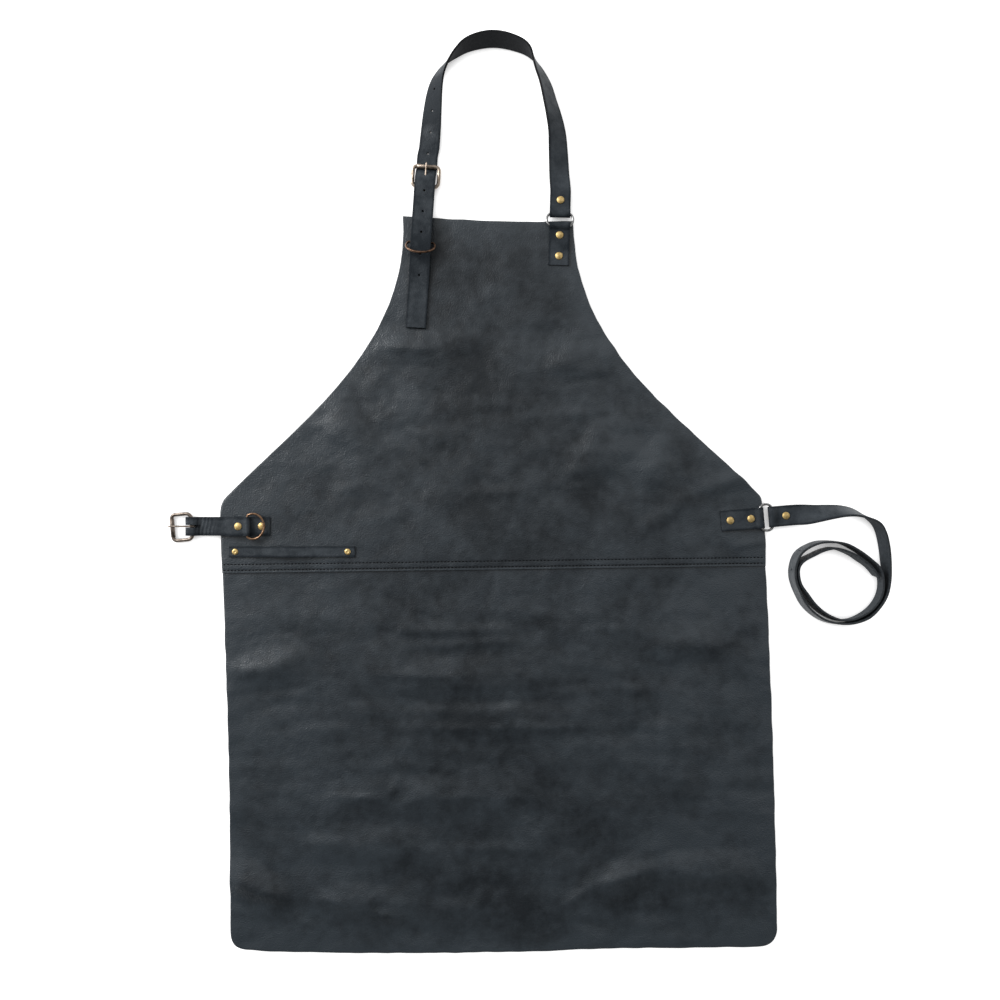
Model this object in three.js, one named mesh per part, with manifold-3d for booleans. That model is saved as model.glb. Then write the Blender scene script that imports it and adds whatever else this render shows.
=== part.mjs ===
// A leather bib apron lying face up on a flat surface, its neck strap buckled and its belt in two turns.
// Millimetres, +Z up. The origin is on that surface under the middle of the waist seam, +Y runs towards the
// neck and +X towards the side that carries the belt.
import * as THREE from "three";
import { mergeVertices } from "three/addons/utils/BufferGeometryUtils.js";
import Module from "manifold-3d";

const wasm = await Module();
wasm.setup();

// Leather
const HIDE = 1.6; // thickness of the bib and the skirt
const TAB_LEATHER = 1.5;
const STRAP_LEATHER = 2.2;
const STRAP_WIDTH = 22.5;
const BUCKLE_TAB_WIDTH = 20.5;
const GAP = 0.3; // between pieces that lie on each other
const RIDE = 2; // the bib lies this high over the skirt's edge and over the backs of rivets
const HIDE_STEP = 28; // spacing of the corners that carry the folds of the hide

// Metal
const BUCKLE = { wire: 2, width: 32.5, reach: 22, corner: 4, heelCorner: 5.5 };
const ROLLER = { radius: 2.4, length: 20.4 }; // the sleeve on a buckle's front bar
const PRONG = { wire: 1.1, length: 25.8, rise: 0.8 };
const RING = { wire: 1.4, width: 31.6, depth: 17, corner: 6.5 };
const KEEPER = { wire: 1.25, depth: 18, round: 12 };
const RIVET = { cap: 4.2, height: 1.6, post: 1.5, back: 4, backHeight: 1.4 };
const SMALL_RIVET = { cap: 3.5, height: 1.5, post: 1.5, back: 3.4, backHeight: 1.4 };
const WIRE_SIDES = 6;
const HOLE_SIDES = 6;
const RIVET_SIDES = 8;

// Places of the four fittings: a point on the apron's edge and the direction in which they point out
const NECK_BUCKLE = {
  x: -78.6, y: 382.8, turn: 86.2, tilt: -2.2, skew: 0,
  keeperWidth: 33.8, keeperTilt: 41,
};
const WAIST_BUCKLE = { x: -299.4, y: 43.8, turn: 180, tilt: 5.2, skew: 5, keeperWidth: 30, keeperTilt: 0 };
const NECK_RING = { x: 71, y: 379, turn: 88.5 };
const WAIST_RING = { x: 296.6, y: 53.6, turn: 5 };

// A buckle tab along its run, out from the apron's edge
const TAB = { end: -52.9, keeper: -29.5, tuck: -13.5, heel: 32.5, slack: 3, slot: 3.6 };
const TAB_RIVETS = { outer: -19.3, inner: -44 };
// A ring tab and the strap loop along their run, out from the ring's middle
const ANCHOR = { end: -49.3, underEnd: -29, slack: 1.5 };
const ANCHOR_RIVETS = { outer: -17, inner: -39.3 };
const LOOP = { rivet: 21.5, underEnd: 30, end: 32 };

// Heights of the middles of the layers
const BIB_TOP = RIDE + HIDE;
const LOW = BIB_TOP + GAP + TAB_LEATHER / 2;
const LAYER = TAB_LEATHER + GAP;
const OUTSIDE = 1.45; // the lower layer of a buckle tab beyond the apron's edge
const HEEL_BEND = BUCKLE.wire + 0.4 + TAB_LEATHER / 2;
const HEEL_Z = OUTSIDE + HEEL_BEND;
const EYE = BUCKLE.wire + 0.2 + PRONG.wire; // from the heel bar's middle to the prong's
const KEEPER_BEND = KEEPER.wire + 0.25 + TAB_LEATHER / 2;
const KEEPER_Z = LOW + LAYER + KEEPER_BEND;
const RING_BAR = RING.depth / 2 - RING.wire;
const ANCHOR_BEND = RING.wire + 0.25 + TAB_LEATHER / 2;
const ANCHOR_Z = LOW + ANCHOR_BEND;
const LOOP_BEND = RING.wire + 0.25 + STRAP_LEATHER / 2;
const LOOP_LOW = RIVET.backHeight + 0.5 + STRAP_LEATHER / 2;
const LOOP_TOP = LOOP_LOW + STRAP_LEATHER + GAP;

// Parts of the bib that lie level at the ride height, and how far the hide takes to come down from them
const PADS = [
  { left: -400, right: 400, low: -50, high: 42 },
  { left: -400, right: -215, low: -50, high: 92 },
  { left: 218, right: 400, low: -50, high: 95 },
  { left: -200, right: 200, low: 300, high: 500 },
];
const PAD_FADE = 45;

// Soft folds: middle, direction, length, width and height
const BIB_FOLDS = [
  { x: -86, y: 241, turn: -3, length: 130, width: 46, height: 3 },
  { x: 100, y: 226, turn: 10, length: 120, width: 46, height: 3 },
  { x: 112, y: 122, turn: 42, length: 130, width: 58, height: 3 },
  { x: 186, y: 118, turn: 50, length: 100, width: 54, height: 3.5 },
  { x: -160, y: 150, turn: -48, length: 120, width: 50, height: 2.5 },
];
const SKIRT_FOLDS = [
  { x: -40, y: -122, turn: 0, length: 300, width: 50, height: 2.5 },
  { x: 10, y: -172, turn: 2, length: 240, width: 48, height: 2 },
  { x: -60, y: -253, turn: 0, length: 260, width: 52, height: 2.5 },
  { x: -124, y: -308, turn: -4, length: 210, width: 48, height: 2.5 },
  { x: -140, y: -372, turn: -8, length: 190, width: 48, height: 3 },
  { x: -262, y: -352, turn: -35, length: 110, width: 52, height: 5 },
  { x: 140, y: -344, turn: 26, length: 130, width: 50, height: 4 },
  { x: 232, y: -334, turn: -2, length: 170, width: 50, height: 3.5 },
  { x: 200, y: -205, turn: 86, length: 180, width: 50, height: 2.5 },
  { x: 216, y: -84, turn: 4, length: 130, width: 50, height: 2.5 },
  { x: -246, y: -112, turn: 8, length: 130, width: 50, height: 3 },
];

// The neck strap between the ring and the buckle: its middle line, and how far it leans out of the flat
const NECK_RUN = [
  { x: 70.5, y: 429, lean: 14 },
  { x: 69, y: 457.9, lean: 24 },
  { x: 67.8, y: 474.8, lean: 32 },
  { x: 64.5, y: 491.8, lean: 39 },
  { x: 60, y: 508.7, lean: 47 },
  { x: 55.2, y: 526.2, lean: 53 },
  { x: 48.4, y: 541.5, lean: 62 },
  { x: 43.3, y: 551.5, lean: 75 },
  { x: 39, y: 559, lean: 89 },
  { x: 32, y: 565.2, lean: 99 },
  { x: 22.3, y: 569.5, lean: 105 },
  { x: 8.8, y: 573.3, lean: 109 },
  { x: -5.4, y: 574.3, lean: 110 },
  { x: -20, y: 571.7, lean: 107 },
  { x: -32, y: 567, lean: 100 },
  { x: -40.7, y: 560.6, lean: 90 },
  { x: -47.5, y: 554.5, lean: 80 },
  { x: -53.6, y: 547.6, lean: 69 },
  { x: -59.3, y: 538.6, lean: 59 },
  { x: -63.4, y: 529, lean: 49 },
  { x: -66.2, y: 516, lean: 39 },
  { x: -68.3, y: 498, lean: 27 },
  { x: -70.2, y: 478, lean: 15 },
  { x: -72.2, y: 458, lean: 5 },
];
// The same strap through the buckle to its tail: distance out from the apron's edge, and height
const NECK_TAIL = [
  { out: 68, z: 1.3 },
  { out: 61, z: 1.3 },
  { out: 55, z: 1.4 },
  { out: 50.5, z: 3.1 },
  { out: 46, z: 7.1 },
  { out: 39, z: 10.1 },
  { out: 31, z: 10.7 },
  { out: 0, z: 11.5 },
  { out: -18, z: 12.7 },
  { out: -28, z: 13.2 },
  { out: -37, z: 12 },
  { out: -47, z: 8.9 },
  { out: -58, z: 6.9 },
  { out: -74, z: 5.1 },
  { out: -122, z: 5 },
];
const NECK_HOLES = { first: 57.5, pitch: 23, count: 10, prong: 5 };

// The belt: its lead from the ring, then its two turns round the middle of the coil, clockwise from +Y
const BELT_LEAD = [
  { x: 338, y: 56.6, lean: 14, lift: 3 },
  { x: 350, y: 57.6, lean: 36, lift: 0 },
  { x: 364, y: 59.4, lean: 50, lift: 0 },
  { x: 379, y: 60.5, lean: 61, lift: 0 },
  { x: 394, y: 58.4, lean: 73, lift: 0 },
];
const COIL = { x: 375.5, y: -16.6 };
const BELT_TURNS = [
  { bearing: 29, reach: 75.5, lean: 91 },
  { bearing: 38, reach: 71, lean: 95 },
  { bearing: 50, reach: 62.3, lean: 96 },
  { bearing: 67, reach: 54, lean: 94 },
  { bearing: 90, reach: 50.6, lean: 86 },
  { bearing: 112, reach: 49.2, lean: 85 },
  { bearing: 140, reach: 47.5, lean: 87 },
  { bearing: 164, reach: 46, lean: 85 },
  { bearing: 186, reach: 45, lean: 85 },
  { bearing: 208, reach: 45.2, lean: 87 },
  { bearing: 233, reach: 46, lean: 88 },
  { bearing: 255, reach: 47.5, lean: 89 },
  { bearing: 275, reach: 51.8, lean: 89 },
  { bearing: 291, reach: 54.4, lean: 89 },
  { bearing: 305, reach: 55.2, lean: 89 },
  { bearing: 319, reach: 52.1, lean: 90 },
  { bearing: 335, reach: 48.1, lean: 90 },
  { bearing: 361, reach: 42.5, lean: 90 },
  { bearing: 385, reach: 38.7, lean: 90 },
  { bearing: 410, reach: 39.2, lean: 89 },
  { bearing: 429, reach: 43.2, lean: 87 },
  { bearing: 447, reach: 44.3, lean: 83 },
  { bearing: 465, reach: 44.8, lean: 83 },
  { bearing: 483, reach: 44.1, lean: 83 },
  { bearing: 502, reach: 42.8, lean: 83 },
  { bearing: 524, reach: 42.2, lean: 83 },
  { bearing: 544, reach: 41, lean: 85 },
  { bearing: 568, reach: 38.9, lean: 86 },
  { bearing: 591, reach: 38.7, lean: 87 },
  { bearing: 613, reach: 41.2, lean: 87 },
  { bearing: 628, reach: 46.3, lean: 88 },
  { bearing: 642, reach: 49.6, lean: 89 },
  { bearing: 651, reach: 50.4, lean: 90 },
  { bearing: 660, reach: 48, lean: 91 },
  { bearing: 674, reach: 42.6, lean: 92 },
  { bearing: 690, reach: 39.8, lean: 92 },
  { bearing: 710, reach: 37.4, lean: 91 },
  { bearing: 738, reach: 32.8, lean: 92 },
  { bearing: 761, reach: 32.1, lean: 92 },
  { bearing: 783, reach: 35.4, lean: 89 },
  { bearing: 801, reach: 39.6, lean: 85 },
];
const BELT_HOLES = { first: 13.3, pitch: 22, count: 18 };
const STRAP_HOLE = 1.6; // radius

// The towel strip between its rivets
const STRIP = { left: -291, right: -153.5, y: 16, width: 11.8, bulge: 3.2 };
const STRIP_RIVETS = { left: -284.3, right: -161.2 };

const hideLook = { color: 0x343a3e, roughness: 0.55, metalness: 0 };
const strapLook = { color: 0x2c3136, roughness: 0.45, metalness: 0 };
const brassLook = { color: 0xb08d4a, roughness: 0.35, metalness: 1 };
const oldBrassLook = { color: 0x8d7a58, roughness: 0.4, metalness: 1 };
const bronzeLook = { color: 0x80583c, roughness: 0.4, metalness: 1 };
const nickelLook = { color: 0xb4b6b8, roughness: 0.25, metalness: 1 };

const radians = THREE.MathUtils.degToRad;

function piece(name, geometry, look) {
  const material = new THREE.MeshStandardMaterial({ ...look, flatShading: true });
  const mesh = new THREE.Mesh(geometry, material);
  mesh.name = name;
  return mesh;
}

function solid(geometry) {
  const bare = geometry.clone();
  bare.deleteAttribute("normal");
  bare.deleteAttribute("uv");
  const joined = mergeVertices(bare, 1e-4);
  const vertProperties = new Float32Array(joined.attributes.position.array);
  const triVerts = new Uint32Array(joined.index.array);
  return new wasm.Manifold(new wasm.Mesh({ numProp: 3, vertProperties, triVerts }));
}

function geometryOf(shape) {
  const { vertProperties, triVerts } = shape.getMesh();
  const geometry = new THREE.BufferGeometry();
  geometry.setAttribute("position", new THREE.BufferAttribute(new Float32Array(vertProperties), 3));
  geometry.setIndex(new THREE.BufferAttribute(new Uint32Array(triVerts), 1));
  return geometry;
}

function cut(geometry, cutters) {
  const shape = cutters.reduce((rest, cutter) => rest.subtract(solid(cutter)), solid(geometry));
  return geometryOf(shape);
}

function standing(place) {
  const group = new THREE.Group();
  group.position.set(place.x, place.y, 0);
  group.rotation.z = radians(place.turn);
  group.updateMatrixWorld();
  return group;
}

// Where a point on a fitting's middle line comes on the apron
function spot(place, out) {
  return new THREE.Vector3(out, 0, 0).applyMatrix4(standing(place).matrixWorld);
}

function upright(radius, sides, x, y) {
  return new THREE.CylinderGeometry(radius, radius, 80, sides).rotateX(Math.PI / 2).translate(x, y, 0);
}

function rivetHole(x, y) {
  return upright(RIVET.post + GAP, HOLE_SIDES, x, y);
}

// A sheet of leather as a closed solid: a grid of corners, each with a point on its upper and lower face
function leather(columns, rows, corner) {
  const points = [];
  for (let i = 0; i <= columns; i += 1) {
    for (let j = 0; j <= rows; j += 1) {
      points.push(...corner(i, j));
    }
  }
  const upper = (i, j) => 2 * (i * (rows + 1) + j);
  const lower = (i, j) => upper(i, j) + 1;
  const faces = [];
  const wall = (a, b) => {
    faces.push(upper(...a), lower(...a), lower(...b));
    faces.push(upper(...a), lower(...b), upper(...b));
  };
  for (let i = 0; i < columns; i += 1) {
    for (let j = 0; j < rows; j += 1) {
      const ring = [[i, j], [i + 1, j], [i + 1, j + 1], [i, j + 1]];
      const [a, b, c, d] = ring.map((at) => upper(...at));
      const [e, f, g, h] = ring.map((at) => lower(...at));
      faces.push(a, b, c, a, c, d, e, g, f, e, h, g);
    }
    wall([i, 0], [i + 1, 0]);
    wall([i + 1, rows], [i, rows]);
  }
  for (let j = 0; j < rows; j += 1) {
    wall([columns, j], [columns, j + 1]);
    wall([0, j + 1], [0, j]);
  }
  return new THREE.BufferGeometry().setFromPoints(points).setIndex(faces);
}

// A strip bent so that its cross-sections stand at the given frames
function bentStrip(frames, width, thickness) {
  return leather(frames.length - 1, 1, (i, j) => {
    const { at, right, up } = frames[i];
    const edge = at.clone().addScaledVector(right, (0.5 - j) * width);
    return [1, -1].map((face) => edge.clone().addScaledVector(up, (face * thickness) / 2));
  });
}

function headings(points) {
  return points.map((point, i) => {
    const before = points[Math.max(i - 1, 0)];
    const after = points[Math.min(i + 1, points.length - 1)];
    return after.clone().sub(before).normalize();
  });
}

// Frames along a route drawn in side view; side is the way that its right-hand edge faces, +1 or -1
function sideFrames(points, side) {
  const places = points.map((point) => new THREE.Vector3(point.x, 0, point.y));
  const right = new THREE.Vector3(0, side, 0);
  return headings(places).map((heading, i) => ({ at: places[i], right, up: right.clone().cross(heading) }));
}

function framesIn(group, frames) {
  return frames.map((frame) => ({
    at: frame.at.clone().applyMatrix4(group.matrixWorld),
    right: frame.right.clone().transformDirection(group.matrixWorld),
    up: frame.up.clone().transformDirection(group.matrixWorld),
  }));
}

// Frames along a strap lying on the surface: it turns over towards the outside of its loop as it leans
function leaningFrames(rows, steps, outside) {
  const middles = rows.map((row) => new THREE.Vector3(row.x, row.y, 0));
  const poses = rows.map((row) => new THREE.Vector3(row.lean, row.lift ?? 0, 0));
  const line = new THREE.CatmullRomCurve3(middles, false, "catmullrom");
  const pose = new THREE.CatmullRomCurve3(poses, false, "catmullrom");
  const places = [];
  const leans = [];
  for (let i = 0; i <= steps; i += 1) {
    const { x: lean, y: lift } = pose.getPoint(i / steps);
    const tilt = radians(lean);
    const edge = (STRAP_WIDTH * Math.abs(Math.sin(tilt)) + STRAP_LEATHER * Math.abs(Math.cos(tilt))) / 2;
    places.push(line.getPoint(i / steps).setZ(edge + Math.max(lift, 0)));
    leans.push(tilt);
  }
  return headings(places).map((heading, i) => {
    const right = heading.clone().cross(new THREE.Vector3(0, 0, 1)).normalize();
    const up = right.clone().cross(heading);
    right.applyAxisAngle(heading, outside * leans[i]);
    up.applyAxisAngle(heading, outside * leans[i]);
    return { at: places[i], right, up };
  });
}

// Punches for a row of holes, measured back from the strap's tail
function punches(frames, holes) {
  const tail = [...frames].reverse();
  const order = [...Array(holes.count).keys()].filter((k) => k !== holes.prong);
  return order.map((k) => {
    let rest = holes.first + k * holes.pitch;
    let i = 0;
    while (rest > tail[i].at.distanceTo(tail[i + 1].at)) {
      rest -= tail[i].at.distanceTo(tail[i + 1].at);
      i += 1;
    }
    const share = rest / tail[i].at.distanceTo(tail[i + 1].at);
    const up = tail[i].up.clone().lerp(tail[i + 1].up, share).normalize();
    const punch = new THREE.CylinderGeometry(STRAP_HOLE, STRAP_HOLE, 3 * STRAP_LEATHER, HOLE_SIDES);
    punch.applyQuaternion(new THREE.Quaternion().setFromUnitVectors(new THREE.Vector3(0, 1, 0), up));
    const at = tail[i].at.clone().lerp(tail[i + 1].at, share);
    return punch.translate(at.x, at.y, at.z);
  });
}

// A closed wire: a round ring drawn out to an outline that runs anticlockwise
function wireLoop(outline, wire, steps) {
  const round = 4 * wire;
  const geometry = new THREE.TorusGeometry(round, wire, WIRE_SIDES, steps);
  const corners = geometry.attributes.position;
  for (let i = 0; i < corners.count; i += 1) {
    const angle = Math.atan2(corners.getY(i), corners.getX(i));
    const share = (Math.round((angle / (2 * Math.PI)) * steps) + steps) % steps;
    const offset = Math.hypot(corners.getX(i), corners.getY(i)) - round;
    const at = outline.getPointAt(share / steps);
    const heading = outline.getTangentAt(share / steps);
    corners.setXY(i, at.x + heading.y * offset, at.y - heading.x * offset);
  }
  return geometry;
}

// A rectangle with rounded corners, from x = low to x = high and from y = -half to y = half
function roundedFrame(low, high, half, corner, lowCorner = corner) {
  const path = new THREE.Path();
  path.moveTo(high, corner - half);
  path.lineTo(high, half - corner);
  path.absarc(high - corner, half - corner, corner, 0, Math.PI / 2);
  path.lineTo(low + lowCorner, half);
  path.absarc(low + lowCorner, half - lowCorner, lowCorner, Math.PI / 2, Math.PI);
  path.lineTo(low, lowCorner - half);
  path.absarc(low + lowCorner, lowCorner - half, lowCorner, Math.PI, 1.5 * Math.PI);
  path.lineTo(high - corner, -half);
  path.absarc(high - corner, corner - half, corner, 1.5 * Math.PI, 2 * Math.PI);
  return path;
}

// A rivet on leather whose upper face is at the given height, its back cap just clear of the surface
function rivet(name, size, x, y, top, dimple = 0) {
  const seat = top + 0.1;
  const shoulder = 0.25 + size.backHeight;
  const profile = [
    new THREE.Vector2(0, 0.25),
    new THREE.Vector2(size.back, 0.25),
    new THREE.Vector2(size.back, shoulder),
    new THREE.Vector2(size.post, shoulder),
    new THREE.Vector2(size.post, seat),
    new THREE.Vector2(size.cap, seat),
    new THREE.Vector2(size.cap, seat + 0.35 * size.height),
    new THREE.Vector2(0.7 * size.cap, seat + size.height),
    new THREE.Vector2(0, seat + size.height - dimple),
  ];
  const mesh = piece(name, new THREE.LatheGeometry(profile, RIVET_SIDES).rotateX(Math.PI / 2), brassLook);
  mesh.position.set(x, y, 0);
  return mesh;
}

// How high the hide lies at a point: level on the pads, and raised by the folds between them
function bibHeight(x, y) {
  const held = Math.max(...PADS.map((pad) => {
    const aside = Math.max(pad.left - x, 0, x - pad.right);
    const beyond = Math.max(pad.low - y, 0, y - pad.high);
    return THREE.MathUtils.smoothstep(1 - Math.hypot(aside, beyond) / PAD_FADE, 0, 1);
  }));
  return RIDE * held + foldHeight(BIB_FOLDS, x, y) * (1 - held);
}

function skirtHeight(x, y) {
  return foldHeight(SKIRT_FOLDS, x, y) * THREE.MathUtils.smoothstep(-y, 30, 60);
}

function foldHeight(folds, x, y) {
  return Math.max(...folds.map((fold) => {
    const turn = radians(fold.turn);
    const along = (x - fold.x) * Math.cos(turn) + (y - fold.y) * Math.sin(turn);
    const aside = (y - fold.y) * Math.cos(turn) - (x - fold.x) * Math.sin(turn);
    const length = Math.max(0, 1 - ((2 * along) / fold.length) ** 2);
    const width = Math.max(0, 1 - ((2 * aside) / fold.width) ** 2);
    return fold.height * length * width;
  }));
}

function bibOutline() {
  const shape = new THREE.Shape();
  shape.moveTo(-101.2, 384);
  shape.bezierCurveTo(-91.5, 243, -214.5, 157.7, -293.7, 77);
  shape.quadraticCurveTo(-300.8, 70, -301.4, 59);
  shape.lineTo(-299.3, -7.7);
  shape.lineTo(297, 0.5);
  shape.lineTo(296.8, 22);
  shape.lineTo(293.8, 60);
  shape.quadraticCurveTo(293.5, 73, 290.4, 77);
  shape.bezierCurveTo(202.8, 168, 86.6, 234, 85.8, 378.5);
  shape.bezierCurveTo(30, 376.5, -20, 378.5, -101.2, 384);
  return shape;
}

function skirtOutline() {
  const shape = new THREE.Shape();
  shape.moveTo(-300.2, 6.5);
  shape.quadraticCurveTo(-290.5, -180, -290.4, -402.6);
  shape.quadraticCurveTo(-289.8, -420, -272, -421.5);
  shape.bezierCurveTo(-150, -427, 0, -425, 120, -419.8);
  shape.lineTo(288, -417.8);
  shape.quadraticCurveTo(309, -417, 309.8, -398);
  shape.quadraticCurveTo(306.5, -190, 296.5, 14.5);
  shape.lineTo(-300.2, 6.5);
  return shape;
}

// A panel of hide: a slab of the panel's rectangle, raised into its folds and trimmed to its outline
function panel(outline, height) {
  const box = new THREE.Box2().setFromPoints(outline.getPoints(12)).expandByScalar(5);
  const size = box.getSize(new THREE.Vector2());
  const columns = Math.round(size.x / HIDE_STEP);
  const rows = Math.round(size.y / HIDE_STEP);
  const slab = leather(columns, rows, (i, j) => {
    const x = box.min.x + (size.x * i) / columns;
    const y = box.min.y + (size.y * j) / rows;
    const z = height(x, y);
    return [new THREE.Vector3(x, y, z + HIDE), new THREE.Vector3(x, y, z)];
  });
  const trim = new THREE.ExtrudeGeometry(outline, { depth: 60, bevelEnabled: false, curveSegments: 12 });
  return geometryOf(solid(slab).intersect(solid(trim.translate(0, 0, -20))));
}

// A buckle tab: from its inner end out to the buckle, round the heel bar and back over itself to the keeper
function buckleTab(name) {
  const under = LOW + LAYER;
  const top = LOW + 2 * LAYER;
  const fold = TAB.heel + TAB.slack;
  const route = new THREE.Path();
  route.moveTo(TAB.end, LOW);
  route.lineTo(1.5, LOW);
  route.bezierCurveTo(9, LOW, 14, OUTSIDE, 22, OUTSIDE);
  route.lineTo(fold, OUTSIDE);
  route.absarc(fold, HEEL_Z, HEEL_BEND, -Math.PI / 2, Math.PI / 2);
  route.lineTo(TAB.heel - 1.5, HEEL_Z + HEEL_BEND);
  route.bezierCurveTo(TAB.heel - 5.5, HEEL_Z + HEEL_BEND, 27, OUTSIDE + LAYER, 22, OUTSIDE + LAYER);
  route.bezierCurveTo(14, OUTSIDE + LAYER, 9, under, 1.5, under);
  route.lineTo(-3, under);
  route.bezierCurveTo(-7.5, under, -9, top, TAB.tuck, top);
  route.lineTo(TAB.keeper + 5, top);
  route.bezierCurveTo(-26.5, top, -27, KEEPER_Z + KEEPER_BEND, TAB.keeper, KEEPER_Z + KEEPER_BEND);
  route.absarc(TAB.keeper, KEEPER_Z, KEEPER_BEND, Math.PI / 2, 1.5 * Math.PI);
  route.lineTo(TAB.tuck, under);
  const strip = bentStrip(sideFrames(route.getPoints(3), -1), BUCKLE_TAB_WIDTH, TAB_LEATHER);
  const slotTop = new THREE.BoxGeometry(20, TAB.slot, 10).translate(TAB.heel - 1, 0, 2.4 + 5);
  const slotUnder = new THREE.BoxGeometry(15, TAB.slot, 6).translate(TAB.heel + 1.5, 0, 0);
  const holes = [rivetHole(TAB_RIVETS.outer, 0), rivetHole(TAB_RIVETS.inner, 0)];
  return piece(name, cut(strip, [slotTop, slotUnder, ...holes]), strapLook);
}

// A buckle frame: a bent wire with a sleeve closed round its front bar
function buckleFrame(name) {
  const { reach, width, wire, corner, heelCorner } = BUCKLE;
  const outline = roundedFrame(0, reach, width / 2 - wire, corner, heelCorner);
  const sleeve = new THREE.CylinderGeometry(ROLLER.radius, ROLLER.radius, ROLLER.length, 8);
  sleeve.rotateY(Math.PI / 8).translate(reach, 0, 0);
  return piece(name, geometryOf(solid(wireLoop(outline, wire, 28)).add(solid(sleeve))), oldBrassLook);
}

// A prong's shaft with a given play round it, from the heel bar forward
function prongShaft(play) {
  const { wire, length, rise } = PRONG;
  const shaft = new THREE.CylinderGeometry(0.75 * wire + play, wire + play, length, 8).rotateZ(-Math.PI / 2);
  return shaft.translate(length / 2, 0, 0).rotateY(radians(-rise)).translate(0, 0, EYE);
}

// A prong: an eye round the heel bar and a shaft that lies over the front bar
function prong(name) {
  const eye = new THREE.TorusGeometry(EYE, PRONG.wire, WIRE_SIDES, 12).rotateX(Math.PI / 2);
  return piece(name, geometryOf(solid(eye).add(solid(prongShaft(0)))), oldBrassLook);
}

// A keeper ring: a straight bar closed by a round bow
function keeperRing(name, width) {
  const half = width / 2 - KEEPER.wire;
  const middle = KEEPER.round - KEEPER.depth;
  const start = Math.acos(-middle / KEEPER.round);
  const outline = new THREE.Path();
  outline.moveTo(0, -half * Math.sin(start));
  outline.lineTo(0, half * Math.sin(start));
  outline.absellipse(middle, 0, KEEPER.round, half, start, 2 * Math.PI - start);
  return piece(name, wireLoop(outline, KEEPER.wire, 26), bronzeLook);
}

function buckleFitting(side, place) {
  const fitting = standing(place);
  const top = LOW + 2 * LAYER + TAB_LEATHER / 2;
  fitting.add(buckleTab(`${side}_buckle_tab`));
  fitting.add(rivet(`${side}_tab_rivet_1`, RIVET, TAB_RIVETS.outer, 0, top));
  fitting.add(rivet(`${side}_tab_rivet_2`, RIVET, TAB_RIVETS.inner, 0, LOW + TAB_LEATHER / 2));
  const heel = new THREE.Group();
  heel.position.set(TAB.heel, 0, HEEL_Z);
  heel.rotation.set(0, radians(place.tilt), radians(place.skew), "ZYX");
  const tongue = prong(`${side}_buckle_prong`);
  tongue.rotation.z = radians(-place.skew);
  heel.add(buckleFrame(`${side}_buckle_frame`), tongue);
  const keeper = keeperRing(`${side}_keeper_ring`, place.keeperWidth);
  keeper.position.set(TAB.keeper, 0, KEEPER_Z);
  keeper.rotation.y = radians(place.keeperTilt);
  fitting.add(heel, keeper);
  return fitting;
}

// A ring tab: a short under layer, a fold round the ring and a longer upper layer
function anchorTab(name) {
  const fold = ANCHOR.slack - RING_BAR;
  const route = new THREE.Path();
  route.moveTo(ANCHOR.underEnd, LOW);
  route.lineTo(fold, LOW);
  route.absarc(fold, ANCHOR_Z, ANCHOR_BEND, -Math.PI / 2, Math.PI / 2);
  route.absarc(-RING_BAR, ANCHOR_Z, ANCHOR_BEND, Math.PI / 2, 0.75 * Math.PI);
  route.bezierCurveTo(-10.2, 7.4, -10.6, LOW + LAYER, -12, LOW + LAYER);
  route.lineTo(ANCHOR.underEnd - 0.6, LOW + LAYER);
  route.bezierCurveTo(-31.4, LOW + LAYER, -31.8, LOW, -33.6, LOW);
  route.lineTo(ANCHOR.end, LOW);
  const strip = bentStrip(sideFrames(route.getPoints(3), -1), STRAP_WIDTH, TAB_LEATHER);
  const holes = [rivetHole(ANCHOR_RIVETS.outer, 0), rivetHole(ANCHOR_RIVETS.inner, 0)];
  return piece(name, cut(strip, holes), strapLook);
}

function ringFitting(side, place) {
  const fitting = standing(place);
  fitting.add(anchorTab(`${side}_anchor_tab`));
  fitting.add(rivet(`${side}_anchor_rivet_1`, RIVET, ANCHOR_RIVETS.outer, 0, LOW + LAYER + TAB_LEATHER / 2));
  fitting.add(rivet(`${side}_anchor_rivet_2`, RIVET, ANCHOR_RIVETS.inner, 0, LOW + TAB_LEATHER / 2));
  fitting.add(rivet(`${side}_strap_rivet`, RIVET, LOOP.rivet, 0, LOOP_TOP + STRAP_LEATHER / 2));
  const outline = roundedFrame(-RING_BAR, RING_BAR, RING.width / 2 - RING.wire, RING.corner);
  const ring = piece(`${side}_ring`, wireLoop(outline, RING.wire, 26), nickelLook);
  const drop = ANCHOR_Z - LOOP_LOW - LOOP_BEND;
  ring.position.z = ANCHOR_Z - drop / 2;
  ring.rotation.y = Math.asin(drop / (2 * RING_BAR));
  fitting.add(ring);
  return fitting;
}

// The end of a strap at its ring: a short under layer, a fold round the ring and the start of the run
function strapLoop(place) {
  const fold = RING_BAR - ANCHOR.slack;
  const route = new THREE.Path();
  route.moveTo(LOOP.underEnd, LOOP_LOW);
  route.lineTo(fold, LOOP_LOW);
  route.absarc(fold, LOOP_LOW + LOOP_BEND, LOOP_BEND, 1.5 * Math.PI, Math.PI / 2, true);
  route.absarc(RING_BAR, LOOP_LOW + LOOP_BEND, LOOP_BEND, Math.PI / 2, 0.25 * Math.PI, true);
  route.bezierCurveTo(11, 5.8, 12.5, LOOP_TOP, 16.5, LOOP_TOP);
  route.lineTo(LOOP.end, LOOP_TOP);
  return framesIn(standing(place), sideFrames(route.getPoints(3), -1));
}

function loopHole(place) {
  const at = spot(place, LOOP.rivet);
  return rivetHole(at.x, at.y);
}

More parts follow.
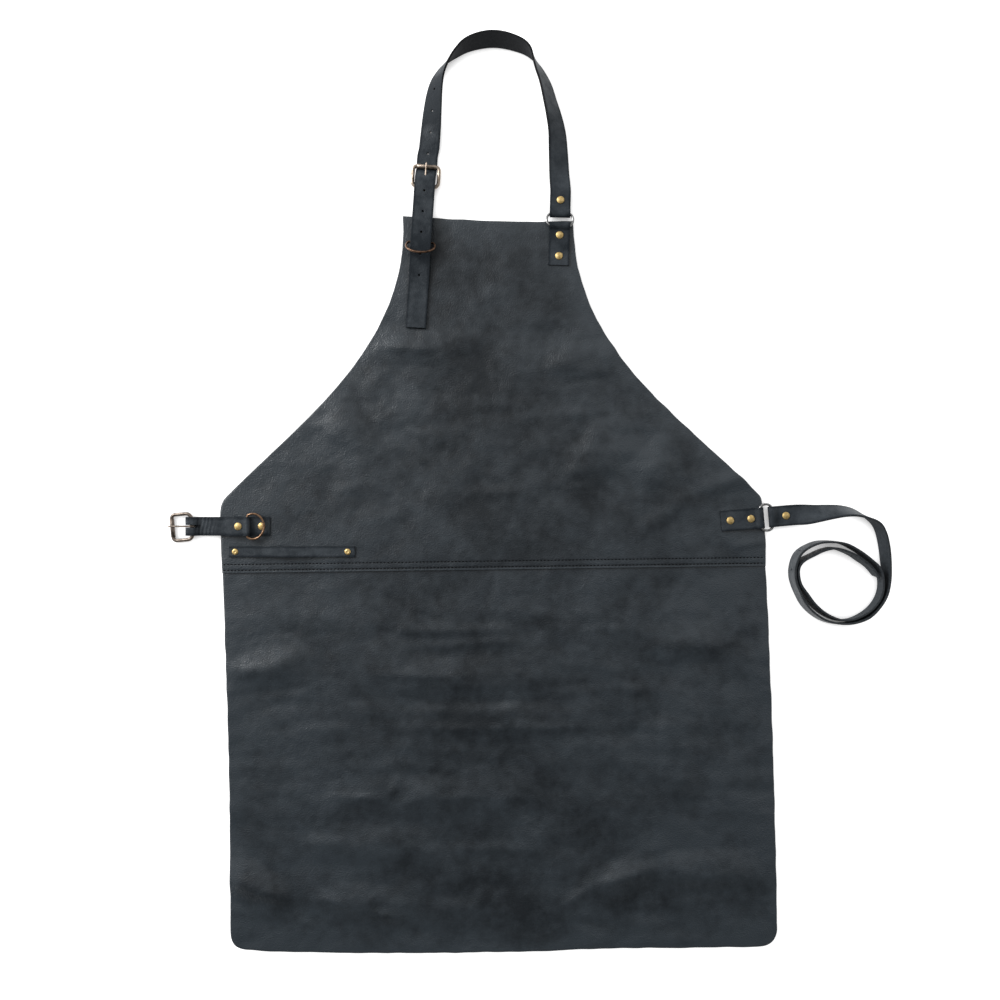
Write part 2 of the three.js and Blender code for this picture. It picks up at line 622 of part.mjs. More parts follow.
function neckStrap() {
  const buckle = standing(NECK_BUCKLE);
  const tailLine = new THREE.SplineCurve(NECK_TAIL.map((row) => new THREE.Vector2(row.out, row.z)));
  const tail = framesIn(buckle, sideFrames(tailLine.getPoints(32), 1));
  const frames = [...strapLoop(NECK_RING), ...leaningFrames(NECK_RUN, 50, 1), ...tail];
  const pass = prongShaft(GAP + 0.1).translate(3, 0, 0).rotateY(radians(NECK_BUCKLE.tilt));
  pass.translate(TAB.heel, 0, HEEL_Z).applyMatrix4(buckle.matrixWorld);
  const strip = bentStrip(frames, STRAP_WIDTH, STRAP_LEATHER);
  const holes = [loopHole(NECK_RING), pass, ...punches(frames, NECK_HOLES)];
  return piece("neck_strap", cut(strip, holes), strapLook);
}

function waistStrap() {
  const turns = BELT_TURNS.map(({ bearing, reach, lean }) => {
    const angle = radians(bearing);
    return { x: COIL.x + reach * Math.sin(angle), y: COIL.y + reach * Math.cos(angle), lean };
  });
  const frames = [...strapLoop(WAIST_RING), ...leaningFrames([...BELT_LEAD, ...turns], 94, -1)];
  const strip = bentStrip(frames, STRAP_WIDTH, STRAP_LEATHER);
  const holes = [loopHole(WAIST_RING), ...punches(frames, BELT_HOLES)];
  return piece("waist_strap", cut(strip, holes), strapLook);
}

// The towel strip stands off the bib a little between its rivets
function towelStrip() {
  const { left, right } = STRIP_RIVETS;
  const high = LOW + STRIP.bulge;
  const route = new THREE.Path();
  route.moveTo(STRIP.left, LOW);
  route.lineTo(left + 7, LOW);
  route.bezierCurveTo(left + 35, LOW, left + 35, high, (left + right) / 2, high);
  route.bezierCurveTo(right - 35, high, right - 35, LOW, right - 7, LOW);
  route.lineTo(STRIP.right, LOW);
  const strip = bentStrip(sideFrames(route.getPoints(5), -1), STRIP.width, TAB_LEATHER);
  const holes = [rivetHole(left, STRIP.y), rivetHole(right, STRIP.y)];
  return piece("towel_strip", cut(strip.translate(0, STRIP.y, 0), holes), strapLook);
}

function bibPanel() {
  const spots = [NECK_BUCKLE, WAIST_BUCKLE].flatMap((place) => [
    spot(place, TAB_RIVETS.outer),
    spot(place, TAB_RIVETS.inner),
  ]);
  spots.push(...[NECK_RING, WAIST_RING].flatMap((place) => [
    spot(place, ANCHOR_RIVETS.outer),
    spot(place, ANCHOR_RIVETS.inner),
  ]));
  const holes = spots.map((at) => rivetHole(at.x, at.y));
  holes.push(rivetHole(STRIP_RIVETS.left, STRIP.y), rivetHole(STRIP_RIVETS.right, STRIP.y));
  return piece("bib_panel", cut(panel(bibOutline(), bibHeight), holes), hideLook);
}

const apron = new THREE.Group();
apron.name = "leather_apron";
apron.add(piece("skirt_panel", panel(skirtOutline(), skirtHeight), hideLook), bibPanel());
apron.add(buckleFitting("neck", NECK_BUCKLE), buckleFitting("waist", WAIST_BUCKLE));
apron.add(ringFitting("neck", NECK_RING), ringFitting("waist", WAIST_RING));
apron.add(neckStrap(), waistStrap(), towelStrip());
apron.add(rivet("towel_rivet_left", SMALL_RIVET, STRIP_RIVETS.left, STRIP.y, LOW + TAB_LEATHER / 2, 0.6));
apron.add(rivet("towel_rivet_right", SMALL_RIVET, STRIP_RIVETS.right, STRIP.y, LOW + TAB_LEATHER / 2, 0.6));

export default apron;
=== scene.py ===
import math

import bmesh
import bpy
from mathutils import Matrix, Vector, noise


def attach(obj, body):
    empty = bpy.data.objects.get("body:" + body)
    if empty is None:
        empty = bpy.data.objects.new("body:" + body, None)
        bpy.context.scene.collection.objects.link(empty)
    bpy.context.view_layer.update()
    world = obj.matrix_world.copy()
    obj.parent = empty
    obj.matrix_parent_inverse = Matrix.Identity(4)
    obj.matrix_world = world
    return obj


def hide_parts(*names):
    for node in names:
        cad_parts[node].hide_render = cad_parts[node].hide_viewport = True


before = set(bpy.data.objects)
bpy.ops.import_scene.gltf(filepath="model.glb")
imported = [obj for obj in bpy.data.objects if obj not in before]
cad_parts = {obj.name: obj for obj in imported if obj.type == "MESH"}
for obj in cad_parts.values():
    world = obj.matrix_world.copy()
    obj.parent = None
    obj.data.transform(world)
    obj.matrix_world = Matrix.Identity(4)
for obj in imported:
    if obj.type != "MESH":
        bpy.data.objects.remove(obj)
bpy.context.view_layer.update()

# The table and the light: the apron lies face up on a white table top. A big soft window stands
# at the upper left and the white room fills the rest. The view is straight down.
MM = 0.001
VIEW_MIDDLE = (0.0055, 0.0726)
VIEW_HEIGHT = 1.0
VIEW_SPAN = 1.1  # metres of table across the picture
SENSOR = 36.0
WINDOW_PLACE = (-1.9, 1.2, 1.25)
WINDOW_SIZE = 1.4
WINDOW_WATTS = 62
scene = bpy.context.scene
scene.view_settings.view_transform = "Standard"
lens = bpy.data.cameras.new("camera")
lens.sensor_width = SENSOR
lens.lens = SENSOR * VIEW_HEIGHT / VIEW_SPAN
camera = bpy.data.objects.new("camera", lens)
camera.location = (*VIEW_MIDDLE, VIEW_HEIGHT)
scene.collection.objects.link(camera)
scene.camera = camera
lamp = bpy.data.lights.new("window", "AREA")
lamp.size = WINDOW_SIZE
lamp.energy = WINDOW_WATTS
window = bpy.data.objects.new("window", lamp)
window.location = WINDOW_PLACE
window.rotation_euler = (-Vector(WINDOW_PLACE)).to_track_quat("-Z", "Y").to_euler()
scene.collection.objects.link(window)


def finish(name):
    """A new material with its shader, ready for this object's textures."""
    material = bpy.data.materials.new(name)
    material.use_nodes = True
    tree = material.node_tree
    return material, tree, tree.nodes["Principled BSDF"]


def node(tree, kind, values=(), **settings):
    """A new node with values on its sockets."""
    made = tree.nodes.new(kind)
    for key, value in settings.items():
        setattr(made, key, value)
    for key, value in dict(values).items():
        made.inputs[key].default_value = value
    return made


def ramp(tree, source, stops):
    """A run of colours, or of greys of one number each, along a texture's value."""
    made = tree.nodes.new("ShaderNodeValToRGB")
    marks = made.color_ramp.elements
    while len(marks) < len(stops):
        marks.new(0.5)
    for mark, (place, tone) in zip(marks, stops):
        mark.position = place
        mark.color = (*tone, 1.0) if isinstance(tone, tuple) else (tone, tone, tone, 1.0)
    tree.links.new(source, made.inputs["Fac"])
    return made.outputs["Color"]


ROOM_TONES = [(0.0, 0.45), (0.32, 0.07), (0.5, 0.38), (0.66, 0.78), (1.0, 0.75)]
ROOM_FALL = (-0.05, 0.47, 0.0)  # from the dark end of the room to the bright one
ROOM_SIDES = (0.24, 0.0, 0.0)  # the side walls are bright too
room = bpy.data.worlds.new("room")
room.use_nodes = True
tree = room.node_tree
fall = node(tree, "ShaderNodeVectorMath", {1: ROOM_FALL}, operation="DOT_PRODUCT")
aside = node(tree, "ShaderNodeVectorMath", operation="ABSOLUTE")
sides = node(tree, "ShaderNodeVectorMath", {1: ROOM_SIDES}, operation="DOT_PRODUCT")
facing = node(tree, "ShaderNodeTexCoord").outputs["Generated"]
tree.links.new(facing, fall.inputs[0])
tree.links.new(facing, aside.inputs[0])
tree.links.new(aside.outputs["Vector"], sides.inputs[0])
level = node(tree, "ShaderNodeMath", {1: 0.5}, operation="ADD")
both = node(tree, "ShaderNodeMath", operation="ADD")
tree.links.new(fall.outputs["Value"], level.inputs[0])
tree.links.new(level.outputs[0], both.inputs[0])
tree.links.new(sides.outputs["Value"], both.inputs[1])
tree.links.new(ramp(tree, both.outputs[0], ROOM_TONES), tree.nodes["Background"].inputs["Color"])
scene.world = room
TABLE_WHITE = (0.78, 0.78, 0.78, 1.0)
TABLE_GLOW = 0.95
TABLE_HALF, TABLE_DROP = 3.0, 0.0004  # half its side, and how far it lies below the leather
table_paint, tree, shader = finish("table white")
shader.inputs["Base Color"].default_value = TABLE_WHITE
shader.inputs["Roughness"].default_value = 0.8
# The table's glow is dimmed by ambient occlusion: painted shade under and beside the leather and in its
# holes.
occlusion_shade = node(tree, "ShaderNodeAmbientOcclusion", {"Distance": 0.009}, samples=6)
tree.links.new(occlusion_shade.outputs["Color"], shader.inputs["Emission Color"])
shader.inputs["Emission Strength"].default_value = TABLE_GLOW
table_noise = node(tree, "ShaderNodeTexNoise", {"Scale": 400.0})
table_bump = node(tree, "ShaderNodeBump", {"Strength": 0.05, "Distance": 0.0002})
tree.links.new(table_noise.outputs["Fac"], table_bump.inputs["Height"])
tree.links.new(table_bump.outputs["Normal"], shader.inputs["Normal"])
bm = bmesh.new()
bmesh.ops.create_grid(bm, x_segments=1, y_segments=1, size=TABLE_HALF)
bmesh.ops.translate(bm, verts=bm.verts, vec=(0, 0, -TABLE_DROP))
table_mesh = bpy.data.meshes.new("table")
bm.to_mesh(table_mesh)
bm.free()
table = bpy.data.objects.new("table", table_mesh)
table_mesh.materials.append(table_paint)
scene.collection.objects.link(table)

# The skirt: the lower body, cut from one waxed hide 1.6 mm thick with rounded hem corners. It lies
# flat with shallow folds from being stored folded, and its upper edge runs under the bib.
HIDE = 1.6
HIDE_DARK = (0.0046, 0.0080, 0.0114)
HIDE_LIGHT = (0.0208, 0.0288, 0.0364)
# The cut edges are toned lighter than the grain: their paler colour, with painted light that lifts the
# shade on edges facing the room's dark end.
EDGE_DARK = (0.028, 0.034, 0.040)
EDGE_LIGHT = (0.050, 0.058, 0.066)
FLESH_DARK = (0.0060, 0.0068, 0.0085)
FLESH_LIGHT = (0.0150, 0.0165, 0.0190)


def leather(name, dark, light, dull, shine, grain, wax):
    """Grain-side leather: cloudy wax tones, with the painted sheen and shade its attribute carries, a
    pebbled grain, soft rucks and patches of fine crinkle.
    """
    material, tree, shader = finish(name)
    where = node(tree, "ShaderNodeTexCoord").outputs["Object"]
    clouds = node(tree, "ShaderNodeTexNoise", {"Scale": 13.0, "Detail": 6.0, "Roughness": 0.6})
    tone_patches = node(tree, "ShaderNodeTexNoise", {"Scale": 75.0, "Detail": 8.0, "Roughness": 0.65})
    pebble = node(tree, "ShaderNodeTexVoronoi", {"Scale": grain}, feature="SMOOTH_F1")
    crinkle = node(tree, "ShaderNodeTexNoise", {"Scale": 190.0, "Detail": 4.0, "Distortion": 1.5})
    for texture in (clouds, tone_patches, pebble, crinkle):
        tree.links.new(where, texture.inputs["Vector"])
    tone_and_painted_light = node(tree, "ShaderNodeAttribute", attribute_name="tone_and_painted_light")
    edge_share = node(tree, "ShaderNodeMath", {1: 0.2}, operation="MULTIPLY")
    cloud_share = node(tree, "ShaderNodeMath", {1: 0.6}, operation="MULTIPLY_ADD")
    rub_share = node(tree, "ShaderNodeMath", {1: 0.4}, operation="MULTIPLY_ADD")
    tree.links.new(tone_and_painted_light.outputs["Fac"], edge_share.inputs[0])
    tree.links.new(clouds.outputs["Fac"], cloud_share.inputs[0])
    tree.links.new(edge_share.outputs[0], cloud_share.inputs[2])
    tree.links.new(tone_patches.outputs["Fac"], rub_share.inputs[0])
    tree.links.new(cloud_share.outputs[0], rub_share.inputs[2])
    mottle_and_painted_light = rub_share.outputs[0]
    middle = tuple((a + b) / 2 for a, b in zip(dark, light))
    tone = ramp(tree, mottle_and_painted_light, [(0.4, dark), (0.51, middle), (0.63, light)])
    tree.links.new(tone, shader.inputs["Base Color"])
    gloss = ramp(tree, mottle_and_painted_light, [(0.35, dull), (0.65, shine)])
    tree.links.new(gloss, shader.inputs["Roughness"])
    patch = node(tree, "ShaderNodeMapRange", {"From Min": 0.5, "From Max": 0.68, "To Max": 0.7})
    tree.links.new(clouds.outputs["Fac"], patch.inputs["Value"])
    creased = node(tree, "ShaderNodeMath", operation="MULTIPLY")
    tree.links.new(crinkle.outputs["Fac"], creased.inputs[0])
    tree.links.new(patch.outputs["Result"], creased.inputs[1])
    soft = {"Scale": 25.0, "Detail": 2.0, "Roughness": 0.4, "Distortion": 0.3}
    rucks = node(tree, "ShaderNodeTexNoise", soft)
    tree.links.new(where, rucks.inputs["Vector"])
    rucked = node(tree, "ShaderNodeMath", {1: 4.4}, operation="MULTIPLY_ADD")
    tree.links.new(rucks.outputs["Fac"], rucked.inputs[0])
    tree.links.new(creased.outputs[0], rucked.inputs[2])
    surface = node(tree, "ShaderNodeMath", {1: 0.45}, operation="MULTIPLY_ADD")
    tree.links.new(pebble.outputs["Distance"], surface.inputs[0])
    tree.links.new(rucked.outputs[0], surface.inputs[2])
    bump = node(tree, "ShaderNodeBump", {"Strength": 0.8, "Distance": 0.0008})
    tree.links.new(surface.outputs[0], bump.inputs["Height"])
    tree.links.new(bump.outputs["Normal"], shader.inputs["Normal"])
    sheen = ramp(tree, mottle_and_painted_light, [(0.38, wax[0]), (0.64, wax[1])])
    tree.links.new(sheen, shader.inputs["Specular IOR Level"])
    return material


def suede(name, dark, light):
    """Flesh-side leather: dull, short fibres."""
    material, tree, shader = finish(name)
    where = node(tree, "ShaderNodeTexCoord").outputs["Object"]
    nap = node(tree, "ShaderNodeTexNoise", {"Scale": 320.0, "Detail": 8.0, "Roughness": 0.75})
    tree.links.new(where, nap.inputs["Vector"])
    tone = ramp(tree, nap.outputs["Fac"], [(0.35, dark), (0.7, light)])
    tree.links.new(tone, shader.inputs["Base Color"])
    bump = node(tree, "ShaderNodeBump", {"Strength": 0.7, "Distance": 0.0004})
    tree.links.new(nap.outputs["Fac"], bump.inputs["Height"])
    tree.links.new(bump.outputs["Normal"], shader.inputs["Normal"])
    shader.inputs["Roughness"].default_value = 0.85
    shader.inputs["Specular IOR Level"].default_value = 0.25
    return material


def bend(*points, steps=24):
    """Points along a curve pulled towards its inner control points."""
    made = []
    for i in range(steps + 1):
        line = [Vector(p) for p in points]
        while len(line) > 1:
            line = [a.lerp(b, i / steps) for a, b in zip(line, line[1:])]
        made.append(line[0])
    return made


def evenly(points):
    """The point at a share of a line's length."""
    points = [Vector(p) for p in points]
    reach = [0.0]
    for a, b in zip(points, points[1:]):
        reach.append(reach[-1] + (b - a).length)

    def at(share):
        want = share * reach[-1]
        i = max(k for k in range(len(reach)) if k == 0 or reach[k] <= want + 1e-9)
        i = min(i, len(points) - 2)
        step = reach[i + 1] - reach[i]
        return points[i].lerp(points[i + 1], (want - reach[i]) / step if step else 0.0)

    return at


def smooth(share):
    """From 0 to 1 with a soft start and end."""
    share = min(max(share, 0.0), 1.0)
    return share * share * (3 - 2 * share)


def folds_at(folds, x, y):
    """Broad folds: middle, direction, length, width and height in millimetres."""
    high = 0.0
    for fx, fy, turn, length, width, height in folds:
        turn = math.radians(turn)
        along = (x - fx) * math.cos(turn) + (y - fy) * math.sin(turn)
        aside = (y - fy) * math.cos(turn) - (x - fx) * math.sin(turn)
        share = max(0.0, 1 - (2 * along / length) ** 2) * max(0.0, 1 - (2 * aside / width) ** 2)
        high = max(high, height * share ** 1.5)
    return high


def creases_at(creases, x, y):
    """Narrow creases from one point to another: width and height, each fading at its ends."""
    total = 0.0
    for x0, y0, x1, y1, width, height in creases:
        run = math.hypot(x1 - x0, y1 - y0)
        along = ((x - x0) * (x1 - x0) + (y - y0) * (y1 - y0)) / run
        aside = ((y - y0) * (x1 - x0) - (x - x0) * (y1 - y0)) / run
        if abs(aside) > 2.5 * width or not -width < along < run + width:
            continue
        ease = 0.3 * run + width
        fade = smooth((along + width) / ease) * smooth((run + width - along) / ease)
        total += height * fade * math.exp(-((aside / width) ** 2))
    return total


def painted_patches_at(tone_patches, x, y):
    """Patches painted lighter and darker, the sheen and shade of the folds they lie on: middle, half width,
    half height and strength.
    """
    return sum(tone * math.exp(-(((x - rx) / wide) ** 2) - ((y - ry) / tall) ** 2)
               for rx, ry, wide, tall, tone in tone_patches)


def drape_at(x, y, seed, band):
    """The waviness of a hide that has lain folded: soft swells, bands across it and smaller puckers."""
    swell = noise.noise(Vector((x / 36, y / 28, seed)))
    bands = noise.noise(Vector((x / 95, y / 12, seed + 2)))
    pucker = noise.noise(Vector((x / 13, y / 11, seed + 5)))
    return max(0.0, 0.9 + 0.8 * swell + band * bands + 0.22 * pucker)


def sheet_object(name, bm, thickness, materials, round_edge=0.35):
    """A sheet of leather given its thickness below its grain side, with softened cut edges."""
    mesh = bpy.data.meshes.new(name)
    bm.to_mesh(mesh)
    bm.free()
    for polygon in mesh.polygons:
        polygon.use_smooth = True
    for material in materials:
        mesh.materials.append(material)
    made = bpy.data.objects.new(name, mesh)
    scene.collection.objects.link(made)
    wall = made.modifiers.new("thickness", "SOLIDIFY")
    wall.thickness = thickness * MM
    wall.offset = -1.0
    wall.material_offset = 2
    wall.material_offset_rim = 1
    rim = made.modifiers.new("edge", "BEVEL")
    rim.width = round_edge * MM
    rim.segments = 2
    rim.limit_method = "ANGLE"
    rim.angle_limit = math.radians(50)
    return made


def panel(left, right, bottom, top, free_end, columns, rows, height, tone_patches, crowd=1.0):
    """A panel of hide: a grid drawn to its four edges, raised into its folds, lighter near its edges and
    painted with patches of sheen and shade.
    """
    left, right, bottom, top, free_end = (evenly(side) for side in (left, right, bottom, top, free_end))
    bm = bmesh.new()
    bmesh.ops.create_grid(bm, x_segments=columns, y_segments=rows, size=0.5)
    tone_and_painted_light = bm.verts.layers.float.new("tone_and_painted_light")
    for vert in bm.verts:
        u = vert.co.x + 0.5
        v = (vert.co.y + 0.5) ** crowd
        across = left(v).lerp(right(v), u)
        up = bottom(u).lerp(top(u), v)
        corners = bottom(0).lerp(bottom(1), u).lerp(top(0).lerp(top(1), u), v)
        spot = across + up - corners
        edge = min((spot - side).length for side in (left(v), right(v), free_end(u)))
        ragged = 0.6 * math.exp(-edge / 12) * noise.noise(Vector((spot.x / 17, spot.y / 17, 1.7)))
        # Lighter near the cut edges and towards the sides, plus the painted sheen and shade patches.
        vert[tone_and_painted_light] = math.exp(-edge / 9) + 0.4 * smooth(abs(spot.x) / 300) + painted_patches_at(tone_patches, spot.x, spot.y)
        vert.co = Vector((spot.x + ragged, spot.y + ragged, height(spot.x, spot.y) + HIDE)) * MM
    return bm


SKIRT_FOLDS = [
    (-40, -122, 0, 300, 50, 2.5), (10, -172, 2, 240, 48, 2), (-60, -253, 0, 260, 52, 2.5),
    (-124, -308, -4, 210, 48, 2.5), (-140, -372, -8, 190, 48, 3), (-262, -352, -35, 110, 52, 5),
    (140, -344, 26, 130, 50, 4), (232, -334, -2, 170, 50, 3.5), (200, -205, 86, 180, 50, 2.5),
    (216, -84, 4, 130, 50, 2.5), (-246, -112, 8, 130, 50, 3),
]
SKIRT_CREASES = [
    (-127, -71, 38, -71, 5, 0.9), (-94, -89, 38, -82, 5, 0.9), (-156, -120, -20, -120, 5, 1.0),
    (-100, -158, 68, -155, 5, 0.8), (-94, -178, 115, -177, 5, 1.0), (-222, -178, -150, -178, 6, 0.9),
    (-190, -252, -115, -254, 4, 1.0), (-115, -254, -104, -226, 4, 0.8), (-85, -253, 68, -254, 5, 0.9),
    (-204, -304, -170, -304, 6, 0.7), (-57, -310, 60, -308, 6, 0.9), (-290, -340, -225, -366, 9, 2.3),
    (-192, -360, -148, -378, 5, 1.0), (-148, -378, -93, -387, 5, 0.9), (-75, -375, -9, -375, 6, 0.8),
    (-13, -323, -13, -375, 6, 0.9), (36, -345, 34, -375, 6, 0.8), (72, -375, 112, -349, 7, 1.9),
    (112, -349, 178, -329, 7, 1.9), (75, -381, 145, -382, 7, 0.8), (192, -338, 288, -338, 8, 1.0),
    (152, -10, 152, -62, 7, 1.2), (188, -8, 188, -56, 8, 0.9), (221, -8, 222, -58, 8, 1.2),
    (174, -84, 250, -85, 9, 1.2), (141, -134, 163, -134, 7, 0.8), (192, -125, 186, -190, 9, 1.2),
    (-192, -59, -174, -60, 6, 0.7), (-290, -118, -220, -104, 8, 1.2), (-290, -153, -200, -140, 7, 0.7),
    (95, -412, 130, -412, 8, 0.8), (195, -412, 215, -412, 8, 0.8),
]
# Patches painted lighter and darker: the sheen and shade of the skirt's folds, painted in.
SKIRT_PAINTED_PATCHES = [
    (-10, -166, 90, 12, -0.3), (-89, -137, 40, 10, 0.25), (-236, -137, 26, 26, 0.3),
    (-134, -322, 60, 14, 0.4), (-268, -354, 24, 18, -0.6), (210, -303, 45, 28, 0.35),
    (-6, -354, 42, 20, -0.4), (102, -412, 32, 7, 0.5), (294, -406, 13, 16, 0.6),
    (198, -86, 40, 8, -0.5), (159, -134, 11, 16, -0.5), (57, -61, 16, 9, -0.4),
    (240, -30, 30, 26, 0.35), (70, -120, 60, 24, 0.25),
]


def skirt_height(x, y):
    """How high the skirt's back lies: level beside the seam, and in its folds below that."""
    free = smooth((-y - 30) / 30)
    folded = folds_at(SKIRT_FOLDS, x, y) + creases_at(SKIRT_CREASES, x, y)
    return free * (folded + drape_at(x, y, seed=3.1, band=0.45))


left_corner = bend((-272, -421.5), (-289.8, -420), (-290.4, -402.6))
right_corner = bend((288, -417.8), (309, -417), (309.8, -398))
hem = bend((-272, -421.5), (-150, -427), (0, -425), (120, -419.8)) + [Vector((288, -417.8))]
hem = left_corner[12::-1] + hem[1:] + right_corner[1:13]
skirt_mesh = panel(
    left=left_corner[12:] + bend((-290.4, -402.6), (-290.5, -180), (-300.2, 6.5)),
    right=right_corner[12:] + bend((309.8, -398), (306.5, -190), (296.5, 14.5)),
    bottom=hem, top=[(-300.2, 6.5), (296.5, 14.5)], free_end=hem,
    columns=200, rows=145, height=skirt_height, tone_patches=SKIRT_PAINTED_PATCHES)
hide_grain = leather(
    "hide grain", HIDE_DARK, HIDE_LIGHT, dull=0.5, shine=0.36, grain=850.0, wax=(0.4, 0.61))
hide_flesh = suede("hide flesh side", FLESH_DARK, FLESH_LIGHT)
cut_edge = suede("cut edge", EDGE_DARK, EDGE_LIGHT)
skirt = sheet_object("skirt", skirt_mesh, HIDE, [hide_grain, cut_edge, hide_flesh])
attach(skirt, "apron")
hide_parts("skirt_panel")

# The bib: the upper body, cut from the same hide with curved armholes. Its lower edge laps over the
# skirt, where two rows of stitches join them, and it lies level where tabs are riveted to it.
RIDE = 2.0
PADS = [(-400, 400, -50, 42), (-400, -215, -50, 92), (218, 400, -50, 95), (-200, 200, 300, 500)]
PAD_FADE = 45.0
BIB_FOLDS = [
    (-86, 241, -3, 130, 46, 3), (100, 226, 10, 120, 46, 3), (112, 122, 42, 130, 58, 3),
    (186, 118, 50, 100, 54, 3.5), (-160, 150, -48, 120, 50, 2.5),
]
BIB_CREASES = [
    (-140, 243, -58, 238, 6, 1.2), (60, 220, 95, 230, 8, 1.0), (120, 160, 90, 95, 12, 1.4),
    (205, 102, 258, 88, 9, 1.6), (150, 40, 215, 36, 8, 0.8), (-42, 80, 46, 80, 7, 0.7),
    (-96, 152, -78, 140, 4, 0.8), (-94, 128, -74, 108, 4, 0.7), (-200, 160, -170, 140, 8, 0.9),
    (150, 136, 190, 70, 12, 1.2), (-20, 230, 5, 190, 16, -0.8),
]
PAD_CREASES = [(292, 104, 222, 84, 9, 2.0), (222, 84, 160, 38, 10, 2.0), (298, 28, 258, 21, 5, 0.9)]
# Patches painted lighter and darker: the sheen and shade of the bib's folds, painted in.
BIB_PAINTED_PATCHES = [
    (153, 114, 20, 38, 0.6), (116, 122, 16, 24, 0.35), (194, 74, 42, 12, -0.6), (-20, 207, 48, 42, -0.5),
    (44, 240, 26, 30, 0.45), (-109, 300, 14, 26, 0.5), (-83, 98, 22, 14, 0.5), (-101, 143, 20, 22, 0.45),
    (-20, 66, 50, 26, -0.4), (-101, 179, 18, 14, 0.35), (218, 34, 15, 10, 0.5), (-186, 134, 26, 12, 0.3),
    (-52, 308, 38, 26, -0.4), (92, 72, 20, 20, -0.35),
]
SEAM_ROWS = (2.9, 9.3)  # the stitch rows above the bib's lower edge
SEAM_SHADE = (0.8, 0.5)  # how dark the stitch rows are painted: painted shade in their grooves
SEAM_SHADE_WIDTH = 0.9
SEAM_GROOVE = (1.1, 0.16)  # half width, and how deep the thread pulls the grain down
LAP_HIGHLIGHT, LAP_HIGHLIGHT_REACH = 1.1, 1.3  # how light the lower edge is painted, a painted highlight, and how far up
BIB_DRAPE = 1.7  # the bib is this much wavier than the skirt


def bib_edge(x):
    """The bib's lower edge."""
    return -7.7 + (x + 299.3) * 8.2 / 596.3


def bib_height(x, y):
    """How high the bib's back lies: level where tabs and stitches hold it, and loose elsewhere."""
    held = 0.0
    for low_x, high_x, low_y, high_y in PADS:
        aside = max(low_x - x, 0.0, x - high_x)
        beyond = max(low_y - y, 0.0, y - high_y)
        held = max(held, smooth(1 - math.hypot(aside, beyond) / PAD_FADE))
    loose = folds_at(BIB_FOLDS, x, y) + creases_at(BIB_CREASES, x, y)
    loose += BIB_DRAPE * drape_at(x, y, seed=9.4, band=0.25)
    wide, deep = SEAM_GROOVE
    groove = sum(math.exp(-(((y - bib_edge(x) - row) / wide) ** 2)) for row in SEAM_ROWS)
    pulled = creases_at(PAD_CREASES, x, y)
    return RIDE * held + max(loose, 0.0) * (1 - held) + pulled - deep * groove


bib_top = bend((-101.2, 384), (-20, 378.5), (30, 376.5), (85.8, 378.5))
bib_mesh = panel(
    left=[(-299.3, -7.7), (-301.4, 59)] + bend((-301.4, 59), (-300.8, 70), (-293.7, 77))[1:]
    + bend((-293.7, 77), (-214.5, 157.7), (-91.5, 243), (-101.2, 384))[1:],
    right=[(297, 0.5), (296.8, 22), (293.8, 60)] + bend((293.8, 60), (293.5, 73), (290.4, 77))[1:]
    + bend((290.4, 77), (202.8, 168), (86.6, 234), (85.8, 378.5))[1:],
    bottom=[(-299.3, -7.7), (297, 0.5)], top=bib_top, free_end=bib_top,
    columns=170, rows=190, height=bib_height, tone_patches=BIB_PAINTED_PATCHES, crowd=1.45)
tone_and_painted_light = bib_mesh.verts.layers.float["tone_and_painted_light"]
for vert in bib_mesh.verts:
    above = vert.co.y / MM - bib_edge(vert.co.x / MM)
    # Painted shade along the stitch grooves, and a painted highlight along the lower edge.
    for row, dark in zip(SEAM_ROWS, SEAM_SHADE):
        vert[tone_and_painted_light] -= dark * math.exp(-(((above - row) / SEAM_SHADE_WIDTH) ** 2))
    vert[tone_and_painted_light] += LAP_HIGHLIGHT * math.exp(-((above / LAP_HIGHLIGHT_REACH) ** 2))
bib = sheet_object("bib", bib_mesh, HIDE, [hide_grain, cut_edge, hide_flesh])
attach(bib, "apron")
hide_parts("bib_panel")

# The waist seam: two rows of waxed thread in short machine stitches. They join the bib to the skirt
# and are pulled a little into the bib's grain.
STITCH_START, STITCH_PITCH, STITCH_COUNT = -296.5, 3.9, 152
STITCH = (1.35, 0.6, 0.4)  # half length, half width and half height
STITCH_SINK = 0.12
STITCH_SLANT = 4
THREAD_DARK = (0.001, 0.0012, 0.0015)
THREAD_LIGHT = (0.004, 0.0046, 0.0055)
bm = bmesh.new()
for row in SEAM_ROWS:
    for k in range(STITCH_COUNT):
        x = STITCH_START + k * STITCH_PITCH
        place = Matrix.Translation(Vector((x, bib_edge(x) + row, RIDE + HIDE - STITCH_SINK)) * MM)
        slant = Matrix.Rotation(math.radians(STITCH_SLANT), 4, "Z")
        size = Matrix.Diagonal((*(s * MM for s in STITCH), 1.0))
        bmesh.ops.create_uvsphere(bm, u_segments=8, v_segments=4, radius=1.0, matrix=place @ slant @ size)
thread, tree, shader = finish("waxed thread")
twist = node(tree, "ShaderNodeTexWave", {"Scale": 900.0, "Distortion": 1.0}, bands_direction="DIAGONAL")
tree.links.new(node(tree, "ShaderNodeTexCoord").outputs["Object"], twist.inputs["Vector"])
tone = ramp(tree, twist.outputs["Fac"], [(0.2, THREAD_DARK), (0.8, THREAD_LIGHT)])
tree.links.new(tone, shader.inputs["Base Color"])
shader.inputs["Roughness"].default_value = 0.7
shader.inputs["Specular IOR Level"].default_value = 0.1
mesh = bpy.data.meshes.new("waist_stitches")
bm.to_mesh(mesh)
bm.free()
mesh.materials.append(thread)
for polygon in mesh.polygons:
    polygon.use_smooth = True
stitches = bpy.data.objects.new("waist_stitches", mesh)
scene.collection.objects.link(stitches)
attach(stitches, "apron")

